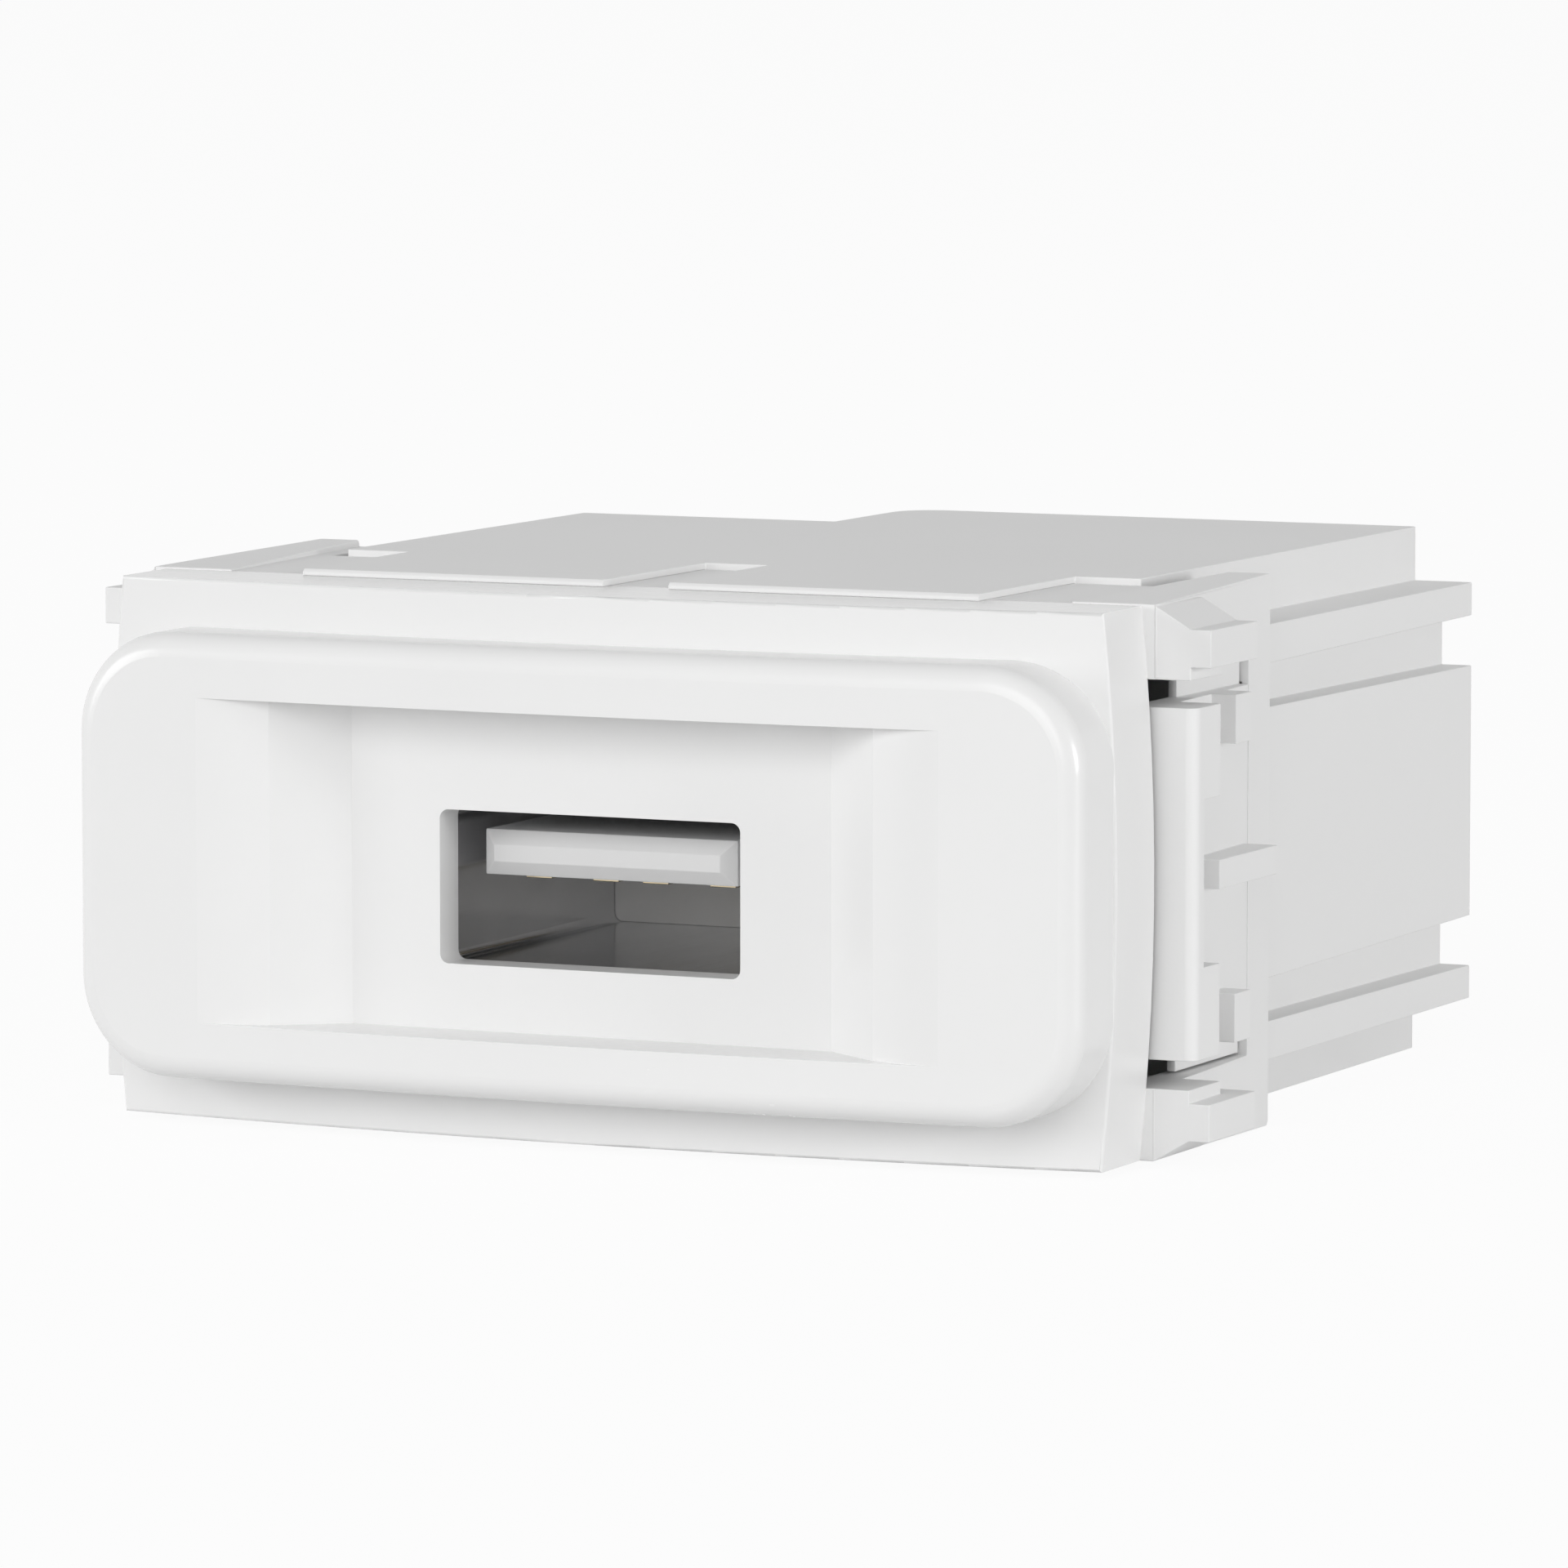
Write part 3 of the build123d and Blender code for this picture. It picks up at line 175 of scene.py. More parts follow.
class Recipe:
    """A node tree while it is being written."""

    def __init__(self, tree: bpy.types.NodeTree) -> None:
        """Empties the tree and keeps it."""
        self.tree = tree
        tree.nodes.clear()

    def node(
        self,
        kind: str,
        settings: Mapping[str, object] | None = None,
        sockets: Mapping[str | int, SocketValue] | None = None,
        output: str | int = 0,
    ) -> Wire | None:
        """Adds one node of any type.

        Args:
            kind: The node's type.
            settings: Its own settings, set first.
            sockets: Values or links of its inputs, by name or place.
            output: Name or place of the output that is wanted.

        Returns:
            That output, or nothing from a node that ends a tree.
        """
        node = self.tree.nodes.new(kind)
        for name, value in (settings or {}).items():
            setattr(node, name, value)
        for name, value in (sockets or {}).items():
            if isinstance(value, Wire):
                self.tree.links.new(value.socket, node.inputs[name])
            elif isinstance(value, tuple) and node.inputs[name].type == "RGBA":
                node.inputs[name].default_value = (*value, 1.0)
            else:
                node.inputs[name].default_value = value
        return Wire(self.tree, node.outputs[output]) if node.outputs else None

    def spot(self) -> Wire:
        """The place on the object, in metres of the shared frame."""
        return self.node("ShaderNodeTexCoord", output="Object")

    def along(self, axis: Axis, origin: float = 0.0) -> Wire:
        """How far a place lies along one axis.

        Args:
            axis: The axis.
            origin: Where the distance starts, in millimetres.

        Returns:
            The distance in millimetres.
        """
        parts = self.node("ShaderNodeSeparateXYZ", sockets={"Vector": self.spot()}, output=axis.value)
        return parts * (1.0 / MM) - origin

    def noise(
        self,
        size: float,
        detail: float = 2.0,
        stretch: Point = (1.0, 1.0, 1.0),
        fineness: float = 0.55,
    ) -> Wire:
        """A cloud pattern round a half.

        Args:
            size: Size of its grain, in millimetres.
            detail: Number of finer layers.
            stretch: How much closer the grain lies along each axis.
            fineness: How much each finer layer counts against the one before.

        Returns:
            A value from nought to one.
        """
        place = self.node("ShaderNodeMapping", sockets={"Vector": self.spot(), "Scale": stretch})
        sockets = {"Vector": place, "Scale": 1.0 / (size * MM), "Detail": detail, "Roughness": fineness}
        return self.node("ShaderNodeTexNoise", sockets=sockets)

    def bands(self, scale: float, distortion: float = 0.0) -> Wire:
        """Bands that follow each other along X.

        Args:
            scale: How close the bands lie, in the node's own measure.
            distortion: How far they stray.

        Returns:
            A value from nought to one.
        """
        settings = {"wave_type": "BANDS", "bands_direction": "X"}
        sockets = {"Vector": self.spot(), "Scale": scale, "Distortion": distortion}
        return self.node("ShaderNodeTexWave", settings, sockets)

    def blend(self, mask: Wire, low: SocketValue, high: SocketValue) -> Wire:
        """A colour between two others.

        Args:
            mask: Nought for the first colour, one for the second.
            low: First colour.
            high: Second colour.

        Returns:
            The mixed colour.
        """
        sockets = {MIX_FACTOR: mask, MIX_LOW: low, MIX_HIGH: high}
        return self.node("ShaderNodeMix", {"data_type": "RGBA"}, sockets, MIX_RESULT)

    def relief(self, height: Wire, depth: float) -> Wire:
        """A fine relief on the surface.

        Args:
            height: Height pattern from nought to one.
            depth: Its depth in millimetres.

        Returns:
            The bumped normal.
        """
        return self.node("ShaderNodeBump", None, {"Distance": depth * MM, "Height": height})

    def surface(self, sockets: Mapping[str, SocketValue]) -> None:
        """Ends a material in one surface shader.

        Args:
            sockets: Values or links of the shader.
        """
        shader = self.node("ShaderNodeBsdfPrincipled", None, sockets)
        self.node("ShaderNodeOutputMaterial", None, {"Surface": shader})


def dimmed(shade: Colour, share: float) -> Colour:
    """A colour at a share of its strength."""
    red, green, blue = (share * level for level in shade)
    return red, green, blue


@dataclass(frozen=True)
class Finish:
    """A surface finish, written once and shared by the pieces that have it.

    Attributes:
        name: Name of its material.
    """

    name: str

    def write(self, recipe: Recipe) -> None:
        """Writes the material's nodes.

        Args:
            recipe: The empty tree.
        """
        raise NotImplementedError

    def material(self) -> bpy.types.Material:
        """Gives the material, and writes it the first time.

        Returns:
            The material.
        """
        made = bpy.data.materials.get(self.name)
        if made is None:
            made = bpy.data.materials.new(self.name)
            made.use_nodes = True
            self.write(Recipe(made.node_tree))
        return made


@dataclass(frozen=True)
class MouldedPlastic(Finish):
    """An opaque moulding with the grain of its tool.

    Attributes:
        shade: Colour of the plastic.
        gloss: Roughness of the surface.
        shine: Strength of its reflection.
        grain: Size of the tool's grain, in millimetres.
        grain_depth: Depth of that grain, in millimetres.
        grain_gloss: How much the grain changes the roughness.
        flow: Size of the clouds that the melt leaves, in millimetres.
        flow_shade: Strength of the colour in the darkest cloud.
        flow_gloss: How much the clouds change the roughness.
    """

    shade: Colour = (0.85, 0.85, 0.848)
    gloss: float = 0.4
    shine: float = 0.4
    grain: float = 0.12
    grain_depth: float = 0.002
    grain_gloss: float = 0.06
    flow: float = 9.0
    flow_shade: float = 0.975
    flow_gloss: float = 0.10

    def write(self, recipe: Recipe) -> None:
        """Writes flow clouds and the grain of the tool.

        Args:
            recipe: The empty tree.
        """
        clouds = recipe.noise(self.flow, detail=3.0)
        grain = recipe.noise(self.grain)
        uneven = self.flow_gloss * (clouds - 0.5) + self.grain_gloss * (grain - 0.5)
        recipe.surface(
            {
                "Base Color": recipe.blend(clouds, dimmed(self.shade, self.flow_shade), self.shade),
                "Roughness": self.gloss + uneven,
                "Specular IOR Level": self.shine,
                "Normal": recipe.relief(grain, self.grain_depth),
            }
        )


@dataclass(frozen=True)
class RolledMetal(Finish):
    """A drawn or rolled metal with grain along one way.

    Attributes:
        shade: Colour of the metal.
        gloss: Roughness of the surface.
        grain: Width of the rolling marks, in millimetres.
        stretch: How much closer the marks lie along each axis.
        depth: Depth of the marks, in millimetres.
        mark_gloss: How much the marks change the roughness.
        tarnish: Size of the tarnished patches, in millimetres.
        tarnish_shade: Strength of the colour in the darkest patch.
    """

    shade: Colour = (0.5, 0.5, 0.51)
    gloss: float = 0.28
    grain: float = 0.25
    stretch: Point = (1.0, 0.05, 1.0)
    depth: float = 0.0015
    mark_gloss: float = 0.16
    tarnish: float = 3.0
    tarnish_shade: float = 0.85

    def write(self, recipe: Recipe) -> None:
        """Writes the rolling marks and a slight tarnish.

        Args:
            recipe: The empty tree.
        """
        marks = recipe.noise(self.grain, detail=3.0, stretch=self.stretch)
        patches = recipe.noise(self.tarnish)
        recipe.surface(
            {
                "Base Color": recipe.blend(patches, dimmed(self.shade, self.tarnish_shade), self.shade),
                "Metallic": 1.0,
                "Roughness": self.gloss + self.mark_gloss * (marks - 0.5),
                "Normal": recipe.relief(marks, self.depth),
            }
        )


@dataclass(frozen=True)
class SolderAlloy(Finish):
    """Solder that has run up a leg and set, bright with a frosted skin.

    Attributes:
        shade: Colour of the solder.
        gloss: Roughness where the skin is bright.
        frost: Size of the frosted patches, in millimetres.
        frost_depth: Depth of the frost, in millimetres.
        frost_gloss: How much the frost adds to the roughness.
        frost_shade: Strength of the colour without frost.
    """

    shade: Colour = (0.62, 0.62, 0.64)
    gloss: float = 0.24
    frost: float = 0.25
    frost_depth: float = 0.008
    frost_gloss: float = 0.3
    frost_shade: float = 0.8

    def write(self, recipe: Recipe) -> None:
        """Writes the frost of the cooled skin.

        Args:
            recipe: The empty tree.
        """
        frost = recipe.noise(self.frost, detail=3.0)
        recipe.surface(
            {
                "Base Color": recipe.blend(frost, dimmed(self.shade, self.frost_shade), self.shade),
                "Metallic": 1.0,
                "Roughness": self.gloss + self.frost_gloss * frost,
                "Normal": recipe.relief(frost, self.frost_depth),
            }
        )


@dataclass(frozen=True)
class Laminate(Finish):
    """A circuit board with lacquered tracks under its mask.

    Attributes:
        lacquer: Colour of the bare fields.
        track: Colour over the copper.
        pitch: How close the tracks lie along each axis, for each metre.
        offset: How far every other row of fields is shifted.
        squash: How much wider the fields of some rows are.
        track_width: Width of a track, as a share of a field.
        track_edge: Softness of its edge, as a share of its width.
        track_rise: Height of a track, in millimetres.
        gloss: Roughness of the lacquer.
        weave: Size of the cloth's weave under it, in millimetres.
        weave_gloss: How much the weave changes the roughness.
    """

    lacquer: Colour = (0.012, 0.095, 0.035)
    track: Colour = (0.03, 0.19, 0.07)
    pitch: Point = (420.0, 150.0, 1.0)
    offset: float = 0.37
    squash: float = 1.6
    track_width: float = 0.05
    track_edge: float = 0.1
    track_rise: float = 0.03
    gloss: float = 0.32
    weave: float = 0.35
    weave_gloss: float = 0.15

    def write(self, recipe: Recipe) -> None:
        """Writes the tracks as narrow runs between wide fields.

        Args:
            recipe: The empty tree.
        """
        sockets = {"Vector": recipe.spot(), "Scale": self.pitch}
        across = recipe.node("ShaderNodeMapping", None, sockets)
        tracks = recipe.node(
            "ShaderNodeTexBrick",
            {"offset": self.offset, "squash": self.squash},
            {
                "Vector": across,
                "Scale": 1.0,
                "Mortar Size": self.track_width,
                "Mortar Smooth": self.track_edge,
            },
            "Fac",
        )
        weave = recipe.noise(self.weave)
        recipe.surface(
            {
                "Base Color": recipe.blend(tracks, self.lacquer, self.track),
                "Roughness": self.gloss + self.weave_gloss * (weave - 0.5),
                "Normal": recipe.relief(tracks, self.track_rise),
            }
        )


@dataclass(frozen=True)
class FiredCeramic(Finish):
    """Pressed ferrite: dark, dull and finely speckled.

    Attributes:
        shade: Colour of the ferrite.
        gloss: Roughness of the surface.
        speckle: Size of a speckle, in millimetres.
        speckle_depth: Depth of the speckle, in millimetres.
        speckle_gloss: How much the speckle changes the roughness.
        speckle_shade: Strength of the colour in the brightest speckle.
    """

    shade: Colour = (0.045, 0.045, 0.048)
    gloss: float = 0.6
    speckle: float = 0.2
    speckle_depth: float = 0.012
    speckle_gloss: float = 0.2
    speckle_shade: float = 1.9

    def write(self, recipe: Recipe) -> None:
        """Writes the speckle of the pressed powder.

        Args:
            recipe: The empty tree.
        """
        speckle = recipe.noise(self.speckle, detail=4.0)
        recipe.surface(
            {
                "Base Color": recipe.blend(speckle, self.shade, dimmed(self.shade, self.speckle_shade)),
                "Roughness": self.gloss + self.speckle_gloss * (speckle - 0.5),
                "Normal": recipe.relief(speckle, self.speckle_depth),
            }
        )


@dataclass(frozen=True)
class WoundTape(Finish):
    """Yellow polyester tape in layers round the winding.

    Attributes:
        shade: Colour of the tape.
        gloss: Roughness between the turns.
        turns: How close the turns under it lie.
        stray: How far the turns stray.
        turn_rise: Height of a turn, in millimetres.
        turn_gloss: How much a turn adds to the roughness.
        turn_shade: Strength of the colour between the turns.
    """

    shade: Colour = (0.72, 0.5, 0.06)
    gloss: float = 0.3
    turns: float = 640.0
    stray: float = 0.6
    turn_rise: float = 0.03
    turn_gloss: float = 0.15
    turn_shade: float = 0.7

    def write(self, recipe: Recipe) -> None:
        """Writes the edges of the tape and the wire showing through.

        Args:
            recipe: The empty tree.
        """
        turns = recipe.bands(self.turns, self.stray)
        recipe.surface(
            {
                "Base Color": recipe.blend(turns, dimmed(self.shade, self.turn_shade), self.shade),
                "Roughness": self.gloss + self.turn_gloss * turns,
                "Normal": recipe.relief(turns, self.turn_rise),
            }
        )


@dataclass(frozen=True)
class CanSleeve(Finish):
    """Shrunk sleeve on an aluminium can, open at the top.

    Attributes:
        top: Height at which the bare can starts, in millimetres.
        shade: Colour of the sleeve.
        metal: Colour of the bare can.
        gloss: Roughness where there is no haze.
        haze: Size of the hazy patches, in millimetres.
        haze_depth: Depth of the haze, in millimetres.
        haze_gloss: How much the haze adds to the roughness.
    """

    top: float = 0.0
    shade: Colour = (0.012, 0.016, 0.03)
    metal: Colour = (0.72, 0.72, 0.73)
    gloss: float = 0.26
    haze: float = 1.5
    haze_depth: float = 0.01
    haze_gloss: float = 0.12

    def write(self, recipe: Recipe) -> None:
        """Writes the sleeve below and the bare metal above.

        Args:
            recipe: The empty tree.
        """
        bare = recipe.along(Axis.Z) > self.top
        haze = recipe.noise(self.haze)
        recipe.surface(
            {
                "Base Color": recipe.blend(bare, self.shade, self.metal),
                "Metallic": bare,
                "Roughness": self.gloss + self.haze_gloss * haze,
                "Normal": recipe.relief(haze, self.haze_depth),
            }
        )


@dataclass(frozen=True)
class DippedCoat(Finish):
    """A dipped coating with tinned leads below a height.

    Attributes:
        leads_below: Height under which the leads are bare, in millimetres.
        shade: Colour of the coating.
        gloss: Roughness of the coating.
        peel: Size of its orange peel, in millimetres.
        peel_depth: Depth of the peel, in millimetres.
        peel_gloss: How much the peel changes the roughness.
    """

    leads_below: float = 0.0
    shade: Colour = (0.02, 0.12, 0.42)
    gloss: float = 0.3
    peel: float = 0.6
    peel_depth: float = 0.02
    peel_gloss: float = 0.12

    def write(self, recipe: Recipe) -> None:
        """Writes the coating's orange peel and the bare leads.

        Args:
            recipe: The empty tree.
        """
        bare = recipe.along(Axis.Z) < self.leads_below
        peel = recipe.noise(self.peel)
        recipe.surface(
            {
                "Base Color": recipe.blend(bare, self.shade, TINNED),
                "Metallic": bare,
                "Roughness": self.gloss + self.peel_gloss * (peel - 0.5),
                "Normal": recipe.relief(peel, self.peel_depth),
            }
        )


@dataclass(frozen=True)
class BandedCoat(Finish):
    """A resistor's coating with plain colour rings and tinned leads.

    Attributes:
        middle: Middle of the body along X, in millimetres.
        half_length: Half the body's length, in millimetres.
        coat: Colour of the coating.
        ring: Colour of its rings.
        rings: How close the rings lie.
        ring_level: Level of the bands above which a ring shows.
        gloss: Roughness of the coating.
        peel: Size of its orange peel, in millimetres.
        peel_depth: Depth of the peel, in millimetres.
        peel_gloss: How much the peel changes the roughness.
    """

    middle: float = 0.0
    half_length: float = 0.0
    coat: Colour = (0.3, 0.42, 0.5)
    ring: Colour = (0.16, 0.06, 0.03)
    rings: float = 300.0
    ring_level: float = 0.72
    gloss: float = 0.35
    peel: float = 0.4
    peel_depth: float = 0.01
    peel_gloss: float = 0.15

    def write(self, recipe: Recipe) -> None:
        """Writes the coat, its rings and the leads.

        Args:
            recipe: The empty tree.
        """
        bare = abs(recipe.along(Axis.X, self.middle)) > self.half_length
        coat = recipe.blend(recipe.bands(self.rings) > self.ring_level, self.coat, self.ring)
        peel = recipe.noise(self.peel)
        recipe.surface(
            {
                "Base Color": recipe.blend(bare, coat, TINNED),
                "Metallic": bare,
                "Roughness": self.gloss + self.peel_gloss * (peel - 0.5),
                "Normal": recipe.relief(peel, self.peel_depth),
            }
        )


@dataclass(frozen=True)
class ChipPackage(Finish):
    """A black moulded package with tinned feet.

    Attributes:
        middle: Middle of the body along Y, in millimetres.
        half_width: Half the body's width, in millimetres.
        shade: Colour of the moulding.
        gloss: Roughness of the moulding.
        grain: Size of its grain, in millimetres.
        grain_depth: Depth of the grain, in millimetres.
        grain_gloss: How much the grain changes the roughness.
    """

    middle: float = 0.0
    half_width: float = 0.0
    shade: Colour = (0.018, 0.018, 0.019)
    gloss: float = 0.45
    grain: float = 0.1
    grain_depth: float = 0.004
    grain_gloss: float = 0.2

    def write(self, recipe: Recipe) -> None:
        """Writes the moulding and the feet beyond its sides.

        Args:
            recipe: The empty tree.
        """
        feet = abs(recipe.along(Axis.Y, self.middle)) > self.half_width
        grain = recipe.noise(self.grain)
        recipe.surface(
            {
                "Base Color": recipe.blend(feet, self.shade, TINNED),
                "Metallic": feet,
                "Roughness": self.gloss + self.grain_gloss * (grain - 0.5),
                "Normal": recipe.relief(grain, self.grain_depth),
            }
        )


def direction(azimuth: float, elevation: float) -> Vector:
    """The way from the module towards a place round it.

    Args:
        azimuth: Angle round to the right of the front, in degrees.
        elevation: Angle above the horizon, in degrees.

    Returns:
        A vector of length one.
    """
    turn = math.radians(azimuth)
    lift = math.radians(elevation)
    return Vector((math.sin(turn) * math.cos(lift), -math.cos(turn) * math.cos(lift), math.sin(lift)))


@dataclass(frozen=True)
class Viewpoint:
    """Where the photograph was taken from.

    Attributes:
        aim: Point the distances are counted from, in millimetres.
        azimuth: Angle round to the right of the front, in degrees.
        elevation: Angle above the horizon, in degrees.
        distance: From the aim to the lens, in millimetres.
        across: Sideways offset of the lens axis, in millimetres.
        above: Upward offset of the lens axis, in millimetres.
        focal_pixels: Focal length in pixels of the image.
        image_pixels: Side of the square image in pixels.
        sensor: Side of the camera's sensor, in millimetres.
        nearest: Shortest distance that the camera shows, in millimetres.
    """

    aim: Point = (0.0, -20.15, 11.7)
    azimuth: float = 24.85
    elevation: float = 5.83
    distance: float = 418.4
    across: float = 7.53
    above: float = 3.494
    focal_pixels: float = 12370.0
    image_pixels: float = 1920.0
    sensor: float = 36.0
    nearest: float = 10.0

    def place(self) -> bpy.types.Object:
        """Makes the camera and sets it as the scene's.

        Returns:
            The camera object.
        """
        back = direction(self.azimuth, self.elevation)
        right = Vector((-back.y, back.x, 0.0)).normalized()
        up = back.cross(right)
        spot = Vector(self.aim) + back * self.distance + right * self.across + up * self.above
        lens = bpy.data.cameras.new("photo_camera")
        lens.sensor_fit = "HORIZONTAL"
        lens.sensor_width = self.sensor
        lens.lens = self.sensor * self.focal_pixels / self.image_pixels
        lens.clip_start = self.nearest * MM
        camera = bpy.data.objects.new("photo_camera", lens)
        bpy.context.scene.collection.objects.link(camera)
        turned = Matrix((right, up, back)).transposed().to_4x4()
        camera.matrix_world = Matrix.Translation(spot * MM) @ turned
        bpy.context.scene.camera = camera
        return camera


@dataclass(frozen=True)
class SoftBox:
    """A large soft lamp that looks at the module.

    Attributes:
        name: Name of the lamp.
        azimuth: Angle round to the right of the front, in degrees.
        elevation: Angle above the horizon, in degrees.
        size: Width and height of its face, in metres.
        level: Light that it gives a white face turned to it, as a share of white.
        distance: From the module, in metres.
    """

    name: str
    azimuth: float
    elevation: float
    size: tuple[float, float]
    level: float
    distance: float = 1.1

    def hang(self, target: Vector) -> bpy.types.Object:
        """Hangs the lamp.

        Args:
            target: Point that it looks at, in metres.

        Returns:
            The lamp object.
        """
        way = direction(self.azimuth, self.elevation)
        light = bpy.data.lights.new(self.name, "AREA")
        light.shape = "RECTANGLE"
        light.size, light.size_y = self.size
        light.energy = self.level * (math.pi * self.distance) ** 2
        lamp = bpy.data.objects.new(self.name, light)
        bpy.context.scene.collection.objects.link(lamp)
        lamp.location = target + way * self.distance
        lamp.rotation_euler = way.to_track_quat("Z", "Y").to_euler()
        return lamp


@dataclass
class Studio:
    """Pale floor, white surroundings and soft lamps.

    Attributes:
        floor_size: Side of the floor, in metres.
        floor_drop: How far it lies under the module, in metres.
        floor_shade: Colour of the floor where its own shading shows.
        ambient: Light of the surroundings on the module, as a share of white.
        shadow: How much of the floor's own shading shows.
        lamps: The soft lamps.
    """

    floor_size: float = 24.0
    floor_drop: float = 0.00002
    floor_shade: Colour = (0.86, 0.86, 0.86)
    ambient: float = 0.38
    shadow: float = 0.06
    lamps: tuple[SoftBox, ...] = (
        SoftBox("front_box", 5.0, 20.0, (0.8, 0.7), 0.345),
        SoftBox("left_fill", -54.0, 12.0, (0.5, 0.44), 0.31),
        SoftBox("right_strip", 80.5, 8.0, (0.16, 0.3), 0.355),
    )

    @staticmethod
    def _seen(recipe: Recipe) -> Wire:
        """A mask of the rays that show the surroundings.

        Args:
            recipe: The tree it is used in.

        Returns:
            One for camera, glossy and transmission rays.
        """
        camera, glossy, through = (
            recipe.node("ShaderNodeLightPath", output=f"Is {kind} Ray")
            for kind in ("Camera", "Glossy", "Transmission")
        )
        return camera | glossy | through

    def surroundings(self) -> None:
        """Lights the module evenly and shows white behind it."""
        world = bpy.data.worlds.new("white_studio")
        bpy.context.scene.world = world
        world.use_nodes = True
        recipe = Recipe(world.node_tree)
        strength = self.ambient + (1.0 - self.ambient) * self._seen(recipe)
        light = recipe.node("ShaderNodeBackground", None, {"Color": WHITE, "Strength": strength})
        recipe.node("ShaderNodeOutputWorld", None, {"Surface": light})

    def floor(self) -> bpy.types.Object:
        """Lays a pale floor that keeps a soft shadow.

        Returns:
            The floor.
        """
        bpy.ops.object.select_all(action="DESELECT")
        bpy.ops.mesh.primitive_plane_add(size=self.floor_size, location=(0.0, 0.0, -self.floor_drop))
        floor = bpy.context.active_object
        floor.name = "floor"
        paint = bpy.data.materials.new("floor_white")
        paint.use_nodes = True
        recipe = Recipe(paint.node_tree)
        matt = recipe.node("ShaderNodeBsdfDiffuse", None, {"Color": self.floor_shade})
        glow = recipe.node("ShaderNodeEmission", None, {"Color": WHITE, "Strength": 1.0})
        share = (1.0 - self.shadow) * self._seen(recipe)
        mixed = recipe.node("ShaderNodeMixShader", None, {0: share, 1: matt, 2: glow})
        recipe.node("ShaderNodeOutputMaterial", None, {"Surface": mixed})
        floor.data.materials.append(paint)
        floor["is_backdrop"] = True
        return floor

    def build(self) -> None:
        """Sets up the surroundings, the floor and the lamps."""
        low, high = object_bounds()
        middle = (Vector(low) + Vector(high)) / 2.0
        self.surroundings()
        self.floor()
        for lamp in self.lamps:
            lamp.hang(middle)
        bpy.context.scene.view_settings.view_transform = "Standard"


def span(node: str, axis: Axis) -> tuple[float, float]:
    """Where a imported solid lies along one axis.

    Args:
        node: Name of the solid.
        axis: The axis.

    Returns:
        Its middle and half its size, in millimetres.
    """
    low, high = (corner[axis.value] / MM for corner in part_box(node))
    return (low + high) / 2.0, (high - low) / 2.0


def select_only(piece: bpy.types.Object) -> None:
    """Selects one object and makes it the active one.

    Args:
        piece: The object.
    """
    bpy.ops.object.select_all(action="DESELECT")
    piece.select_set(True)
    bpy.context.view_layer.objects.active = piece


def settle(piece: bpy.types.Object) -> None:
    """Puts an object's place into its mesh, which then lies at the origin."""
    select_only(piece)
    bpy.ops.object.transform_apply(location=True, rotation=True, scale=True)


def copied(piece: bpy.types.Object, shift: Point | Vector) -> bpy.types.Object:
    """Copies an undressed piece, with a mesh of its own.

    Args:
        piece: The piece to copy.
        shift: How far the copy is moved, in metres.

    Returns:
        The copy.
    """
    select_only(piece)
    bpy.ops.object.duplicate()
    copy = bpy.context.active_object
    copy.location = shift
    settle(copy)
    return copy


def close_up(piece: bpy.types.Object, seam: float) -> None:
    """Merges the seam of a swept shape, fills its ends and turns its faces outwards.

    Args:
        piece: The swept object.
        seam: Distance under which points are one, in millimetres.
    """
    select_only(piece)
    bpy.ops.object.mode_set(mode="EDIT")
    bpy.ops.mesh.select_all(action="SELECT")
    bpy.ops.mesh.remove_doubles(threshold=seam * MM)
    bpy.ops.mesh.fill_holes(sides=0)
    bpy.ops.mesh.select_all(action="SELECT")
    bpy.ops.mesh.normals_make_consistent(inside=False)
    bpy.ops.object.mode_set(mode="OBJECT")
    bpy.ops.object.shade_smooth_by_angle(angle=SMOOTH_ANGLE)


